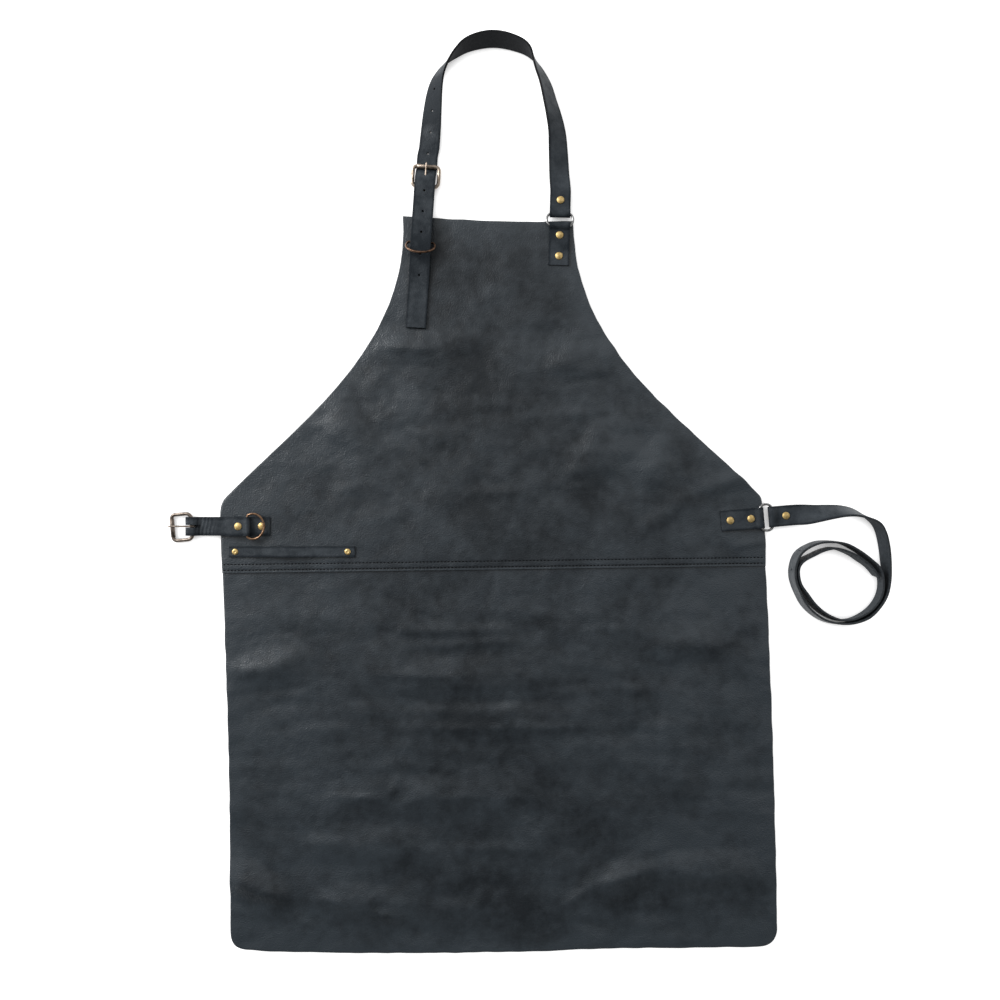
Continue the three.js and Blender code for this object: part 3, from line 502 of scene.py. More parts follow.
# The buckle tabs: one at the neck and one at the waist, each a strip of strap leather folded round
# the buckle's heel bar and back over itself to hold a keeper ring, with a slot for the prong.
GAP = 0.3
TAB_LEATHER = 1.5
BUCKLE_TAB_WIDTH = 20.5
BUCKLE_WIRE = 2.0
KEEPER_WIRE = 1.25
NECK_BUCKLE = {
    "x": -78.6, "y": 382.8, "turn": 86.2, "tilt": -2.2, "skew": 0, "keeper": 33.8, "keeper_tilt": 41,
}
WAIST_BUCKLE = {
    "x": -299.4, "y": 43.8, "turn": 180, "tilt": 5.2, "skew": 5, "keeper": 30, "keeper_tilt": 0,
}
TAB_END, TAB_KEEPER, TAB_TUCK, TAB_HEEL, TAB_SLACK = -52.9, -29.5, -13.5, 32.5, 3.0
TAB_SLOT = 3.0
LOW = RIDE + HIDE + GAP + TAB_LEATHER / 2
LAYER = TAB_LEATHER + GAP
OUTSIDE = 1.45
HEEL_BEND = BUCKLE_WIRE + 0.4 + TAB_LEATHER / 2
HEEL_Z = OUTSIDE + HEEL_BEND
KEEPER_BEND = KEEPER_WIRE + 0.25 + TAB_LEATHER / 2
KEEPER_Z = LOW + LAYER + KEEPER_BEND
DYE_DARK = (0.0025, 0.003, 0.0036)
DYE_LIGHT = (0.0075, 0.0085, 0.010)
STRAP_DARK = (0.0140, 0.0182, 0.0228)
STRAP_LIGHT = (0.0400, 0.0490, 0.0580)


def standing(place):
    """Where a fitting stands: a point on the apron's edge and the direction in which it points out."""
    turn = Matrix.Rotation(math.radians(place["turn"]), 4, "Z")
    return Matrix.Translation((place["x"], place["y"], 0)) @ turn


def arc(middle, radius, start, end, steps=10):
    """Points on a round bend, from one angle to another."""
    made = []
    for i in range(steps + 1):
        angle = math.radians(start + (end - start) * i / steps)
        made.append(Vector((middle[0] + radius * math.cos(angle), middle[1] + radius * math.sin(angle))))
    return made


def side_frames(route, side, place):
    """Frames along a route drawn in side view: middle, right-hand direction and grain direction."""
    points = [Vector((p[0], 0, p[1])) for p in route]
    points = points[:1] + [b for a, b in zip(points, points[1:]) if (b - a).length > 1e-4]
    turn = place.to_3x3()
    right = Vector((0, side, 0))
    made = []
    for i, point in enumerate(points):
        heading = (points[min(i + 1, len(points) - 1)] - points[max(i - 1, 0)]).normalized()
        made.append((place @ point, turn @ right, turn @ right.cross(heading)))
    return made


def along(frames):
    """The frame at a distance along a strip, and the strip's whole length."""
    reach = [0.0]
    for a, b in zip(frames, frames[1:]):
        reach.append(reach[-1] + (b[0] - a[0]).length)

    def at(distance):
        low, high = 0, len(reach) - 2
        while low < high:
            middle = (low + high + 1) // 2
            low, high = (middle, high) if reach[middle] <= distance else (low, middle - 1)
        share = (distance - reach[low]) / (reach[low + 1] - reach[low])
        a, b = frames[low], frames[low + 1]
        middle, right, up = (before.lerp(after, share) for before, after in zip(a, b))
        return middle, right.normalized(), up.normalized()

    return at, reach[-1]


def strip(frames, width, thickness, columns, pitch, holes=(), hole=0.0, slot=None, ripple=None):
    """A strip of leather: a flat grid painted darker along its edges as painted shade, punched and slotted,
    then laid along its frames.
    """
    at, length = along(frames)
    start = (holes[0] if holes else 0.0) % pitch
    rows = [0.0] + [start + k * pitch for k in range(int(length / pitch) + 2)]
    rows = [row for row in rows if row == 0.0 or 0.5 * pitch < row < length - 0.5 * pitch] + [length]
    bm = bmesh.new()
    tone_and_painted_light = bm.verts.layers.float.new("tone_and_painted_light")
    bmesh.ops.create_grid(bm, x_segments=columns, y_segments=len(rows) - 1, size=0.5)
    for vert in bm.verts:
        row = rows[round((vert.co.y + 0.5) * (len(rows) - 1))]
        # The grain is painted darker along both edges: painted shade.
        vert[tone_and_painted_light] = -0.9 if abs(vert.co.x) > 0.49 else 0.0
        vert.co = Vector((vert.co.x * width, row, 0))
    middles = []
    for distance in holes:
        near = [v for v in bm.verts
                if abs(v.co.y - distance) < 1.3 * pitch and abs(v.co.x) < 1.3 * width / columns]
        middle = min(near, key=lambda v: (v.co - Vector((0, distance, 0))).length)
        for vert in near:
            away = Vector((vert.co.x / width * columns, (vert.co.y - distance) / pitch, 0))
            if vert is not middle:
                vert.co = Vector((0, distance, 0)) + away.normalized() * hole
        middles.append(middle)
    bmesh.ops.delete(bm, geom=middles, context="VERTS")
    if slot:
        half, start, end = slot
        for vert in bm.verts:
            if abs(vert.co.x) < width / columns:
                vert.co.x = math.copysign(half, vert.co.x)
        inner = [f for f in bm.faces if abs(f.calc_center_median().x) < half
                 and start < f.calc_center_median().y < end]
        bmesh.ops.delete(bm, geom=inner, context="FACES")
    for vert in bm.verts:
        x, distance = vert.co.x, vert.co.y
        middle, right, up = at(distance)
        rise = thickness / 2 + (ripple(x, distance) if ripple else 0.0)
        vert.co = (middle + right * x + up * rise) * MM
    return bm


def strap_object(name, bm, thickness, materials):
    """A strip of leather smoothed along its bends, with its thickness and softened edges."""
    made = sheet_object(name, bm, thickness, materials, round_edge=0.3)
    rounding = made.modifiers.new("rounding", "SUBSURF")
    rounding.levels = rounding.render_levels = 1
    rounding.boundary_smooth = "PRESERVE_CORNERS"
    made.modifiers.move(2, 0)
    return made


def tab_route():
    """A buckle tab in side view: out to the heel bar, back over itself and round the keeper."""
    under, top, fold = LOW + LAYER, LOW + 2 * LAYER, TAB_HEEL + TAB_SLACK
    high = KEEPER_Z + KEEPER_BEND
    route = [(TAB_END, LOW), (1.5, LOW)]
    route += bend((1.5, LOW), (9, LOW), (14, OUTSIDE), (22, OUTSIDE))
    route += arc((fold, HEEL_Z), HEEL_BEND, -90, 90)
    route += bend((TAB_HEEL - 1.5, HEEL_Z + HEEL_BEND), (TAB_HEEL - 5.5, HEEL_Z + HEEL_BEND),
                  (27, OUTSIDE + LAYER), (22, OUTSIDE + LAYER))
    route += bend((22, OUTSIDE + LAYER), (14, OUTSIDE + LAYER), (9, under), (1.5, under)) + [(-3, under)]
    route += bend((-3, under), (-7.5, under), (-9, top), (TAB_TUCK, top)) + [(TAB_KEEPER + 5, top)]
    route += bend((TAB_KEEPER + 5, top), (-26.5, top), (-27, high), (TAB_KEEPER, high))
    route += arc((TAB_KEEPER, KEEPER_Z), KEEPER_BEND, 90, 270)
    return route + [(TAB_TUCK, under)]


strap_grain = leather(
    "strap grain", STRAP_DARK, STRAP_LIGHT, dull=0.58, shine=0.46, grain=1100.0, wax=(0.1, 0.32))
strap_flesh = suede("strap flesh side", FLESH_DARK, FLESH_LIGHT)
dyed_edge = suede("dyed edge", DYE_DARK, DYE_LIGHT)
strap_leather = [strap_grain, dyed_edge, strap_flesh]
tab_leather = [strap_grain, dyed_edge, strap_grain]
HEEL_REACH = 93.6  # along the tab to the middle of its fold round the heel bar
SLOT_BEFORE, SLOT_AFTER = 10.9, 18  # the prong's slot along the tab, from that middle
PLEAT_START, PLEAT_RUN, PLEAT_FADE = 10, 26, 4
PLEAT_PITCH, PLEAT_HEIGHT = 4.4, 1.3


def gathered(x, distance):
    """The pleats of the waist tab's upper layer, out of its fold."""
    out = distance - HEEL_REACH - PLEAT_START
    share = smooth(out / PLEAT_FADE) * smooth((PLEAT_RUN - out) / PLEAT_FADE)
    wave = abs(math.sin(math.pi * (out + 0.16 * x + 0.7 * math.sin(x / 3)) / PLEAT_PITCH)) ** 0.7
    return PLEAT_HEIGHT * share * (wave - 0.65)


for side, place in (("neck", NECK_BUCKLE), ("waist", WAIST_BUCKLE)):
    frames = side_frames(tab_route(), 1, standing(place))
    bm = strip(frames, BUCKLE_TAB_WIDTH, TAB_LEATHER, columns=5, pitch=0.8,
               slot=(TAB_SLOT / 2, HEEL_REACH - SLOT_BEFORE, HEEL_REACH + SLOT_AFTER),
               ripple=gathered if side == "waist" else None)
    tab = strap_object(f"{side}_buckle_tab_leather", bm, TAB_LEATHER, tab_leather)
    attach(tab, "apron")
    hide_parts(f"{side}_buckle_tab")

# The ring tabs: one at the neck and one at the waist, each a short strip of strap leather folded round
# an oblong ring with its short end below. Two rivets hold it on the bib.
STRAP_WIDTH = 22.5
STRAP_LEATHER = 2.2
RING_WIRE = 1.4
RING_DEPTH = 17.0
RING_BAR = RING_DEPTH / 2 - RING_WIRE
NECK_RING = {"x": 71, "y": 379, "turn": 88.5}
WAIST_RING = {"x": 296.6, "y": 53.6, "turn": 5}
ANCHOR_END, ANCHOR_UNDER, ANCHOR_SLACK = -49.3, -22, 1.5
ANCHOR_BEND = RING_WIRE + 0.25 + TAB_LEATHER / 2
ANCHOR_Z = LOW + ANCHOR_BEND


def anchor_route():
    """A ring tab in side view: from its lower end round the ring's bar and back to its upper end."""
    fold, top = ANCHOR_SLACK - RING_BAR, LOW + LAYER
    route = [(ANCHOR_UNDER, LOW)] + arc((fold, ANCHOR_Z), ANCHOR_BEND, -90, 90)
    route += arc((-RING_BAR, ANCHOR_Z), ANCHOR_BEND, 90, 135, steps=5)
    route += bend(route[-1], (-10.2, 7.4), (-10.6, top), (-12, top)) + [(ANCHOR_UNDER - 0.6, top)]
    route += bend((ANCHOR_UNDER - 0.6, top), (-28, top), (-30, LOW), (-36, LOW))
    return route + [(ANCHOR_END, LOW)]


for side, place in (("neck", NECK_RING), ("waist", WAIST_RING)):
    frames = side_frames(anchor_route(), 1, standing(place))
    bm = strip(frames, STRAP_WIDTH, TAB_LEATHER, columns=8, pitch=1.5)
    tab = strap_object(f"{side}_ring_tab_leather", bm, TAB_LEATHER, tab_leather)
    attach(tab, "apron")
    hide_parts(f"{side}_anchor_tab")

# The neck strap: a holed strap looped and riveted round the right ring. It turns over on its edge
# round the neck, passes through the buckle and under the keeper, and ends square.
RIVET_BACK = 1.4
LOOP_UNDER, LOOP_END = 30, 32
LOOP_BEND = RING_WIRE + 0.25 + STRAP_LEATHER / 2
LOOP_LOW = RIVET_BACK + 0.5 + STRAP_LEATHER / 2
LOOP_TOP = LOOP_LOW + STRAP_LEATHER + GAP
NECK_RUN = [  # middle line and lean out of the flat
    (70.5, 429, 14), (69, 457.9, 24), (67.8, 474.8, 32), (64.5, 491.8, 39), (60, 508.7, 47),
    (55.2, 526.2, 53), (48.4, 541.5, 62), (43.3, 551.5, 75), (39, 559, 89), (32, 565.2, 99),
    (22.3, 569.5, 105), (8.8, 573.3, 109), (-5.4, 574.3, 110), (-20, 571.7, 107), (-32, 567, 100),
    (-40.7, 560.6, 90), (-47.5, 554.5, 80), (-53.6, 547.6, 69), (-59.3, 538.6, 59), (-63.4, 529, 49),
    (-66.2, 516, 39), (-68.3, 498, 27), (-70.2, 478, 15), (-72.2, 458, 5),
]
NECK_TAIL = [  # distance out from the bib's edge, and height
    (68, 1.3), (61, 1.3), (55, 1.4), (50.5, 3.1), (46, 7.1), (39, 10.1), (31, 10.7), (0, 11.5), (-18, 12.7),
    (-28, 13.2), (-37, 12), (-47, 8.9), (-58, 6.9), (-74, 5.1), (-122, 5),
]
STRAP_HOLE = 1.3
NECK_HOLES = (57.5, 23.0, 10)  # first from the tail, pitch and count
NECK_STEPS, TAIL_STEPS = 240, 140
NECK_LEFT = -40  # the loop's left side, beyond this
NECK_SHADE = (515, 32, 1.6)  # a stretch of its loop painted darker, painted shade against the window's sheen: middle, half length and strength


def through(points, share, clamped):
    """A point on a smooth curve through the given points."""
    place = share * (len(points) - 1)
    i = min(int(place), len(points) - 2)
    t = place - i
    b, c = points[i], points[i + 1]
    a = points[i - 1] if i > 0 else (b if clamped else 2 * b - c)
    d = points[i + 2] if i + 2 < len(points) else (c if clamped else 2 * c - b)
    v0, v1 = (c - a) / 2, (d - b) / 2
    return (2 * b - 2 * c + v0 + v1) * t**3 + (3 * c - 3 * b - 2 * v0 - v1) * t**2 + v0 * t + b


def loop_frames(place):
    """Frames of a strap's end where it loops round its ring."""
    fold = RING_BAR - ANCHOR_SLACK
    middle_z = LOOP_LOW + LOOP_BEND
    route = [(LOOP_UNDER, LOOP_LOW)] + arc((fold, middle_z), LOOP_BEND, 270, 90)
    route += arc((RING_BAR, middle_z), LOOP_BEND, 90, 45, steps=5)
    route += bend(route[-1], (11, 5.8), (12.5, LOOP_TOP), (16.5, LOOP_TOP)) + [(LOOP_END, LOOP_TOP)]
    return side_frames(route, -1, standing(place))


def leaning_frames(rows, steps, outside):
    """Frames of a strap on the table that turns over towards the outside of its loop as it leans."""
    rows = [Vector((*row, 0.0)) if len(row) == 3 else Vector(row) for row in rows]
    places, leans = [], []
    for i in range(steps + 1):
        x, y, lean, lift = through(rows, i / steps, clamped=False)
        lean = math.radians(lean)
        edge = (STRAP_WIDTH * abs(math.sin(lean)) + STRAP_LEATHER * abs(math.cos(lean))) / 2
        places.append(Vector((x, y, edge + max(lift, 0.0))))
        leans.append(lean)
    made = []
    for i, place in enumerate(places):
        heading = (places[min(i + 1, steps)] - places[max(i - 1, 0)]).normalized()
        right = heading.cross(Vector((0, 0, 1))).normalized()
        turn = Matrix.Rotation(outside * leans[i], 3, heading)
        made.append((place, turn @ right, turn @ right.cross(heading)))
    return made


tail_points = [Vector(p) for p in NECK_TAIL]
tail = [through(tail_points, i / TAIL_STEPS, clamped=True) for i in range(TAIL_STEPS + 1)]
neck_frames = loop_frames(NECK_RING) + leaning_frames(NECK_RUN, NECK_STEPS, 1)
neck_frames += side_frames(tail, 1, standing(NECK_BUCKLE))
neck_length = along(neck_frames)[1]
first, pitch, count = NECK_HOLES
neck_holes = sorted(neck_length - first - k * pitch for k in range(count))
bm = strip(neck_frames, STRAP_WIDTH, STRAP_LEATHER, columns=8, pitch=pitch / 8,
           holes=neck_holes, hole=STRAP_HOLE)
tone_and_painted_light = bm.verts.layers.float["tone_and_painted_light"]
middle, half, strength = NECK_SHADE
# Painted shade on the loop's left stretch, which also dulls its sheen.
for vert in bm.verts:
    if vert.co.x < NECK_LEFT * MM:
        vert[tone_and_painted_light] -= strength * math.exp(-(((vert.co.y / MM - middle) / half) ** 2))
neck_strap = strap_object("neck_strap_leather", bm, STRAP_LEATHER, strap_leather)
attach(neck_strap, "apron")
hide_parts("neck_strap")

# The belt: a holed strap looped and riveted round the waist ring. It rolls up on its edge and lies
# in two upright turns on the table, its square end inside the second turn.
BELT_LEAD = [  # middle line, lean and lift off the table
    (338, 56.6, 14, 3), (350, 57.6, 36, 0), (364, 59.4, 50, 0), (379, 60.5, 61, 0), (394, 58.4, 73, 0),
]
COIL = (375.5, -16.6)
BELT_TURNS = [  # bearing and reach from the coil's middle, and lean
    (29, 75.5, 91), (38, 71, 95), (50, 62.3, 96), (67, 54, 94), (90, 50.6, 86), (112, 49.2, 85),
    (140, 47.5, 87), (164, 46, 85), (186, 45, 85), (208, 45.2, 87), (233, 46, 88), (255, 47.5, 89),
    (275, 51.8, 89), (291, 54.4, 89), (305, 55.2, 89), (319, 52.1, 90), (335, 48.1, 90), (361, 42.5, 90),
    (385, 38.7, 90), (410, 39.2, 89), (429, 43.2, 87), (447, 44.3, 83), (465, 44.8, 83), (483, 44.1, 83),
    (502, 42.8, 83), (524, 42.2, 83), (544, 41, 85), (568, 38.9, 86), (591, 38.7, 87), (613, 41.2, 87),
    (628, 46.3, 88), (642, 49.6, 89), (651, 50.4, 90), (660, 48, 91), (674, 42.6, 92), (690, 39.8, 92),
    (710, 37.4, 91), (738, 32.8, 92), (761, 32.1, 92), (783, 35.4, 89), (801, 39.6, 85),
]
BELT_HOLES = (13.3, 22.0, 18)
BELT_STEPS = 360
# The belt's flesh side and edges are lighter than the neck strap's leather: painted light on the coil's
# upright faces and edges.
BELT_FLESH_PAINTED_LIT = (0.012, 0.016, 0.020), (0.034, 0.041, 0.048)
BELT_EDGE_PAINTED_LIT = (0.014, 0.017, 0.020), (0.042, 0.047, 0.052)
belt_rows = list(BELT_LEAD)
for bearing, reach, lean in BELT_TURNS:
    angle = math.radians(bearing)
    belt_rows.append((COIL[0] + reach * math.sin(angle), COIL[1] + reach * math.cos(angle), lean, 0.0))
belt_frames = loop_frames(WAIST_RING) + leaning_frames(belt_rows, BELT_STEPS, -1)
belt_length = along(belt_frames)[1]
first, pitch, count = BELT_HOLES
belt_holes = sorted(belt_length - first - k * pitch for k in range(count))
bm = strip(belt_frames, STRAP_WIDTH, STRAP_LEATHER, columns=8, pitch=pitch / 8,
           holes=belt_holes, hole=STRAP_HOLE)
belt_leather = [strap_grain, suede("belt edge", *BELT_EDGE_PAINTED_LIT), suede("belt flesh side", *BELT_FLESH_PAINTED_LIT)]
belt = strap_object("waist_strap_leather", bm, STRAP_LEATHER, belt_leather)
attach(belt, "apron")
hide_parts("waist_strap")

# The towel strip: a narrow strip of strap leather on the left of the waist. It is riveted to the bib
# at both ends, with a little slack between them to take a towel.
STRIP_LEFT, STRIP_RIGHT, STRIP_Y, STRIP_WIDTH, STRIP_BULGE = -291, -153.5, 16, 11.8, 3.2
STRIP_RIVETS = (-284.3, -161.2)
STRIP_LENGTH = 138  # along its bow
STRIP_WAVE, STRIP_HELD = 0.25, 25  # height of its wave, and how far from the ends it fades


def towel_route():
    """The strip in side view: flat under its rivets and bowed up between them."""
    left, right = STRIP_RIVETS
    high = LOW + STRIP_BULGE
    route = [(STRIP_LEFT, LOW), (left + 7, LOW)]
    route += bend((left + 7, LOW), (left + 35, LOW), (left + 35, high), ((left + right) / 2, high))
    route += bend(((left + right) / 2, high), (right - 35, high), (right - 35, LOW), (right - 7, LOW))
    return route + [(STRIP_RIGHT, LOW)]


def slack(x, distance):
    """A slight wave between the strip's riveted ends."""
    free = smooth(distance / STRIP_HELD) * smooth((STRIP_LENGTH - distance) / STRIP_HELD)
    return STRIP_WAVE * math.sin(distance / 9) * free


towel_frames = side_frames(towel_route(), -1, Matrix.Translation((0, STRIP_Y, 0)))
bm = strip(towel_frames, STRIP_WIDTH, TAB_LEATHER, columns=4, pitch=2.5, ripple=slack)
towel_strip = strap_object("towel_strip_leather", bm, TAB_LEATHER, strap_leather)
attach(towel_strip, "apron")
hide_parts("towel_strip")

# The wire fittings: buckles of antique brass wire with bent prongs, nickel oblong rings and copper
# bronze keeper rings. Each frame and each ring is one bent wire, closed by a butt weld.
BUCKLE_WIDTH, BUCKLE_REACH, BUCKLE_CORNER, HEEL_CORNER = 32.5, 22.0, 4.0, 5.5
ROLLER, ROLLER_LENGTH = 2.4, 20.4  # the sleeve that turns on a buckle's front bar
ROLLER_ENDS = [(-0.5, 0.85), (-0.485, 1.0), (0.485, 1.0), (0.5, 0.85)]  # share of length and of radius
PRONG_WIRE, PRONG_LENGTH, PRONG_RISE, PRONG_PLAY = 1.1, 25.8, 0.8, 0.2
PRONG_TAPER = [(0.2, 0.96), (0.5, 0.88), (0.8, 0.8), (0.96, 0.75), (0.985, 0.6), (1.0, 0.35)]
RING_WIDTH, RING_CORNER = 31.6, 6.5
KEEPER_DEPTH, KEEPER_ROUND = 18.0, 12.0
WIRE_SIDES = 14
UP = Vector((0, 0, 1))


def metal(name, dark, light, dull, shine, scale):
    """Plated wire with handling marks and a patina that gathers in patches."""
    material, tree, shader = finish(name)
    where = node(tree, "ShaderNodeTexCoord").outputs["Object"]
    patina = node(tree, "ShaderNodeTexNoise", {"Scale": scale, "Detail": 6.0, "Roughness": 0.6})
    tree.links.new(where, patina.inputs["Vector"])
    tone = ramp(tree, patina.outputs["Fac"], [(0.35, dark), (0.65, light)])
    tree.links.new(tone, shader.inputs["Base Color"])
    gloss = ramp(tree, patina.outputs["Fac"], [(0.3, dull), (0.7, shine)])
    tree.links.new(gloss, shader.inputs["Roughness"])
    scuff = node(tree, "ShaderNodeTexNoise", {"Scale": 3.0 * scale, "Detail": 3.0})
    tree.links.new(where, scuff.inputs["Vector"])
    bump = node(tree, "ShaderNodeBump", {"Strength": 0.15, "Distance": 0.0002})
    tree.links.new(scuff.outputs["Fac"], bump.inputs["Height"])
    tree.links.new(bump.outputs["Normal"], shader.inputs["Normal"])
    shader.inputs["Metallic"].default_value = 1.0
    return material


def wire(bm, route, radii, normal, closed):
    """A round wire along a route: a ring of corners at each point, bridged to the next."""
    rings = []
    count = len(route)
    for i, point in enumerate(route):
        after = route[(i + 1) % count] if closed else route[min(i + 1, count - 1)]
        before = route[i - 1] if closed else route[max(i - 1, 0)]
        heading = (after - before).normalized()
        aside = heading.cross(normal).normalized()
        turn = Matrix((normal, aside, heading)).transposed().to_4x4()
        made = bmesh.ops.create_circle(
            bm, segments=WIRE_SIDES, radius=radii[i] * MM, matrix=Matrix.Translation(point * MM) @ turn)
        rings.append(list({edge for vert in made["verts"] for edge in vert.link_edges}))
    for a, b in zip(rings, rings[1:] + rings[:1] if closed else rings[1:]):
        bmesh.ops.bridge_loops(bm, edges=a + b)
    if not closed:
        bmesh.ops.holes_fill(bm, edges=bm.edges, sides=WIRE_SIDES)


def metal_object(name, bm, place, material, body, cad_node):
    """A metal piece set in its place, on its body and for its solid."""
    bmesh.ops.transform(bm, matrix=place, verts=bm.verts)
    bmesh.ops.recalc_face_normals(bm, faces=bm.faces)
    mesh = bpy.data.meshes.new(name)
    bm.to_mesh(mesh)
    bm.free()
    for polygon in mesh.polygons:
        polygon.use_smooth = True
    mesh.materials.append(material)
    made = bpy.data.objects.new(name, mesh)
    scene.collection.objects.link(made)
    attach(made, body)
    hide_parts(cad_node)


def rounded_frame(low, high, half, corner, low_corner):
    """The middle line of a rectangle with rounded corners."""
    line = []
    for x, y, start in ((high, half, 0), (low, half, 90), (low, -half, 180), (high, -half, 270)):
        round_by = corner if x == high else low_corner
        middle = (x - math.copysign(round_by, x - (low + high) / 2), y - math.copysign(round_by, y))
        line += arc(middle, round_by, start, start + 90, steps=8)
    return [Vector((p.x, p.y, 0)) for p in line]


def in_metres(matrix):
    """A place in millimetres turned into metres."""
    moved = matrix.copy()
    moved.translation = matrix.translation * MM
    return moved


def buckle_frame():
    """A buckle's frame of wire from its heel bar out, with the sleeve on its front bar."""
    bm = bmesh.new()
    loop = rounded_frame(0, BUCKLE_REACH, BUCKLE_WIDTH / 2 - BUCKLE_WIRE, BUCKLE_CORNER, HEEL_CORNER)
    wire(bm, loop, [BUCKLE_WIRE] * len(loop), UP, closed=True)
    sleeve = [Vector((BUCKLE_REACH, ROLLER_LENGTH * share, 0)) for share, _ in ROLLER_ENDS]
    wire(bm, sleeve, [ROLLER * size for _, size in ROLLER_ENDS], UP, closed=False)
    return bm


def prong():
    """A buckle's prong: an eye bent round the heel bar and a tongue that tapers to its tip."""
    eye = BUCKLE_WIRE + PRONG_PLAY + PRONG_WIRE
    route = [Vector((p.x, 0, p.y)) for p in arc((0, 0), eye, 395, 90, steps=26)]
    radii = [PRONG_WIRE] * len(route)
    climb = math.tan(math.radians(PRONG_RISE))
    for share, size in PRONG_TAPER:
        route.append(Vector((PRONG_LENGTH * share, 0, eye + PRONG_LENGTH * share * climb)))
        radii.append(PRONG_WIRE * size)
    bm = bmesh.new()
    wire(bm, route, radii, Vector((0, 1, 0)), closed=False)
    return bm


def keeper(width):
    """A keeper ring: a round bow closed by a straight bar, which hangs in the tab's fold."""
    half = width / 2 - KEEPER_WIRE
    middle = KEEPER_ROUND - KEEPER_DEPTH
    start = math.degrees(math.acos(-middle / KEEPER_ROUND))
    turns = arc((0, 0), 1, start, 360 - start, steps=40)
    bow = [Vector((middle + KEEPER_ROUND * p.x, half * p.y, 0)) for p in turns]
    bar = [bow[-1].lerp(bow[0], k / 10) for k in range(1, 10)]
    bm = bmesh.new()
    wire(bm, bow + bar, [KEEPER_WIRE] * len(bow + bar), UP, closed=True)
    return bm


def oblong_ring():
    """An oblong ring that joins a strap to its tab."""
    bm = bmesh.new()
    loop = rounded_frame(-RING_BAR, RING_BAR, RING_WIDTH / 2 - RING_WIRE, RING_CORNER, RING_CORNER)
    wire(bm, loop, [RING_WIRE] * len(loop), UP, closed=True)
    return bm


old_brass = metal("antique brass", (0.18, 0.14, 0.105), (0.48, 0.40, 0.33), 0.42, 0.3, 260.0)
waist_brass = metal("dark antique brass", (0.07, 0.056, 0.046), (0.25, 0.21, 0.18), 0.42, 0.3, 260.0)
dark_bronze = metal("dark bronze", (0.05, 0.03, 0.02), (0.2, 0.12, 0.08), 0.42, 0.26, 240.0)
bronze = metal("copper bronze", (0.11, 0.06, 0.036), (0.34, 0.21, 0.13), 0.45, 0.32, 240.0)
nickel = metal("nickel plate", (0.16, 0.16, 0.16), (0.36, 0.36, 0.36), 0.4, 0.28, 300.0)
for side, place, material, keeper_metal in (
        ("neck", NECK_BUCKLE, old_brass, dark_bronze), ("waist", WAIST_BUCKLE, waist_brass, bronze)):
    moves = side == "waist"
    heel = standing(place) @ Matrix.Translation((TAB_HEEL, 0, HEEL_Z))
    skew = Matrix.Rotation(math.radians(place["skew"]), 4, "Z")
    heel = heel @ skew @ Matrix.Rotation(math.radians(place["tilt"]), 4, "Y")
    metal_object(f"{side}_buckle_wire", buckle_frame(), in_metres(heel), material,
                 "waist_buckle" if moves else "apron", f"{side}_buckle_frame")
    metal_object(f"{side}_prong_wire", prong(), in_metres(heel @ skew.inverted()), material,
                 "waist_prong" if moves else "apron", f"{side}_buckle_prong")
    hinge = standing(place) @ Matrix.Translation((TAB_KEEPER, 0, KEEPER_Z))
    hinge = hinge @ Matrix.Rotation(math.radians(place["keeper_tilt"]), 4, "Y")
    metal_object(f"{side}_keeper_wire", keeper(place["keeper"]), in_metres(hinge), keeper_metal,
                 "waist_keeper" if moves else "apron", f"{side}_keeper_ring")
drop = ANCHOR_Z - LOOP_LOW - LOOP_BEND
for side, place in (("neck", NECK_RING), ("waist", WAIST_RING)):
    hang = standing(place) @ Matrix.Translation((0, 0, ANCHOR_Z - drop / 2))
    hang = hang @ Matrix.Rotation(math.asin(drop / (2 * RING_BAR)), 4, "Y")
    metal_object(f"{side}_ring_wire", oblong_ring(), in_metres(hang), nickel,
                 "apron", f"{side}_ring")

# The rivets: two-piece brass caps with a domed face, set through the leather and spread on a flat
# back cap. The two small ones on the towel strip are dimpled by the setting punch.
RIVET = (4.2, 1.6, 1.5, 4.0)  # cap radius, cap height, post radius and back radius
SMALL_RIVET = (3.5, 1.5, 1.5, 3.4)
TAB_RIVETS = (-19.3, -44)  # from the apron's edge
RING_RIVETS = (-17, -39.3)  # from the ring's middle
LOOP_RIVET = 21.5
DIMPLE = 0.6
brass = metal("rivet brass", (0.46, 0.32, 0.12), (0.80, 0.60, 0.28), 0.58, 0.46, 420.0)
# Brass painted almost black: painted shade for the neck's tab rivets under the strap.
brass_in_painted_shade = metal("brass painted in shade", (0.02, 0.015, 0.01), (0.06, 0.045, 0.025), 0.6, 0.5, 420.0)


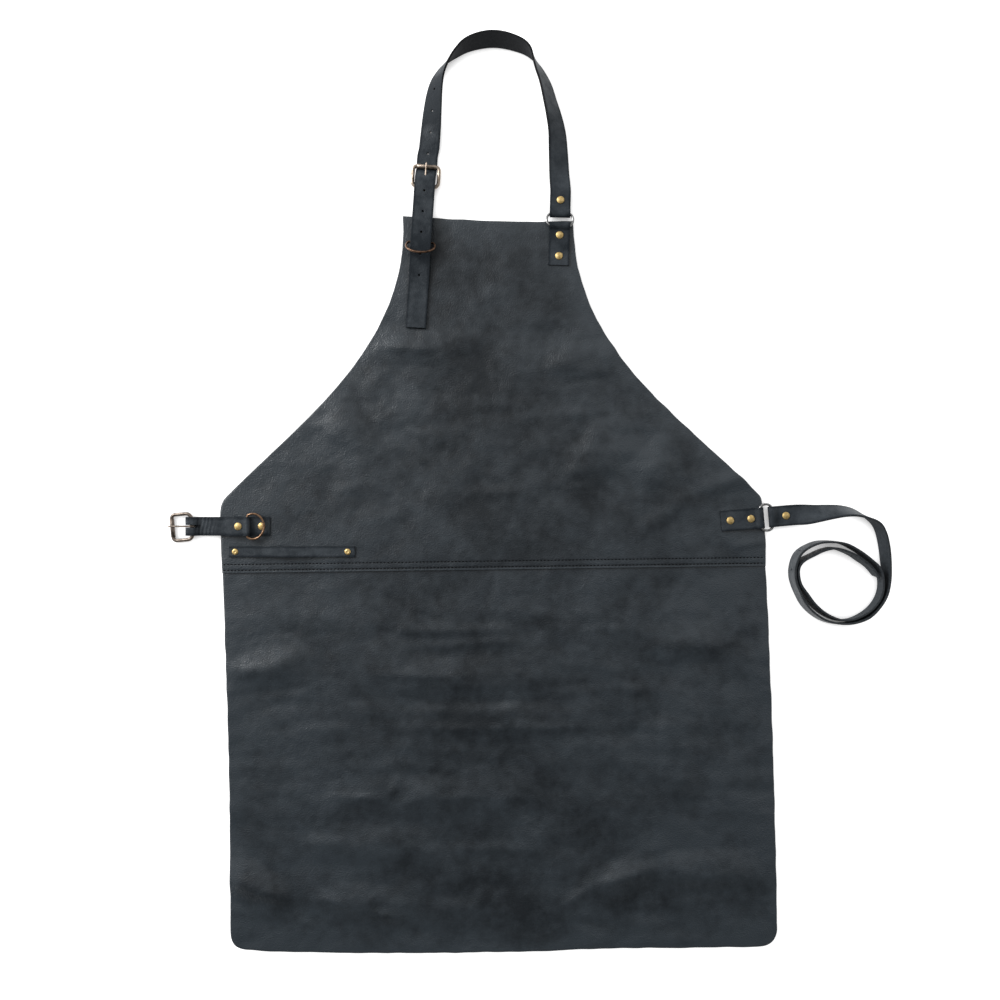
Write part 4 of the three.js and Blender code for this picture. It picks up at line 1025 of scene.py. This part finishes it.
def rivet(name, size, place, top, dimple=0.0, material=brass):
    """A turned profile from the back cap's middle to the face's middle, spun into a rivet."""
    cap, height, post, back = size
    seat = top + 0.1
    profile = [(0, 0.25), (back - 0.3, 0.25), (back, 0.6), (back, 1.2), (back - 0.4, 0.25 + RIVET_BACK)]
    profile += [(post, 0.25 + RIVET_BACK), (post, seat), (cap - 0.25, seat), (cap, seat + 0.25)]
    for k in range(1, 11):
        share = k / 10
        dome = (1 - (1 - share) ** 2) ** 0.8
        sink = dimple * smooth((share - 0.45) / 0.4)
        profile.append((cap * (1 - share), seat + 0.25 + (height - 0.25) * dome - sink))
    bm = bmesh.new()
    verts = [bm.verts.new((r * MM, 0, z * MM)) for r, z in profile]
    edges = [bm.edges.new(pair) for pair in zip(verts, verts[1:])]
    bmesh.ops.spin(bm, geom=verts + edges, cent=(0, 0, 0), axis=(0, 0, 1), angle=2 * math.pi, steps=28,
                   use_merge=True, dvec=(0, 0, 0))
    bmesh.ops.remove_doubles(bm, verts=bm.verts, dist=1e-6)
    stand = Matrix.Translation((place.x * MM, place.y * MM, 0))
    metal_object(f"{name}_cap", bm, stand, material, "apron", name)


tab_top = LOW + 2 * LAYER + TAB_LEATHER / 2
low_top = LOW + TAB_LEATHER / 2
for side, buckle, ring in (("neck", NECK_BUCKLE, NECK_RING), ("waist", WAIST_BUCKLE, WAIST_RING)):
    tab_brass = brass_in_painted_shade if side == "neck" else brass  # the neck's are out of the light, under the strap
    at_buckle = [standing(buckle) @ Vector((out, 0, 0)) for out in TAB_RIVETS]
    at_ring = [standing(ring) @ Vector((out, 0, 0)) for out in (*RING_RIVETS, LOOP_RIVET)]
    rivet(f"{side}_tab_rivet_1", RIVET, at_buckle[0], tab_top, material=tab_brass)
    rivet(f"{side}_tab_rivet_2", RIVET, at_buckle[1], low_top, material=tab_brass)
    rivet(f"{side}_anchor_rivet_1", RIVET, at_ring[0], low_top + LAYER)
    rivet(f"{side}_anchor_rivet_2", RIVET, at_ring[1], low_top)
    rivet(f"{side}_strap_rivet", RIVET, at_ring[2], LOOP_TOP + STRAP_LEATHER / 2)
rivet("towel_rivet_left", SMALL_RIVET, Vector((STRIP_RIVETS[0], STRIP_Y, 0)), low_top, DIMPLE)
rivet("towel_rivet_right", SMALL_RIVET, Vector((STRIP_RIVETS[1], STRIP_Y, 0)), low_top, DIMPLE)
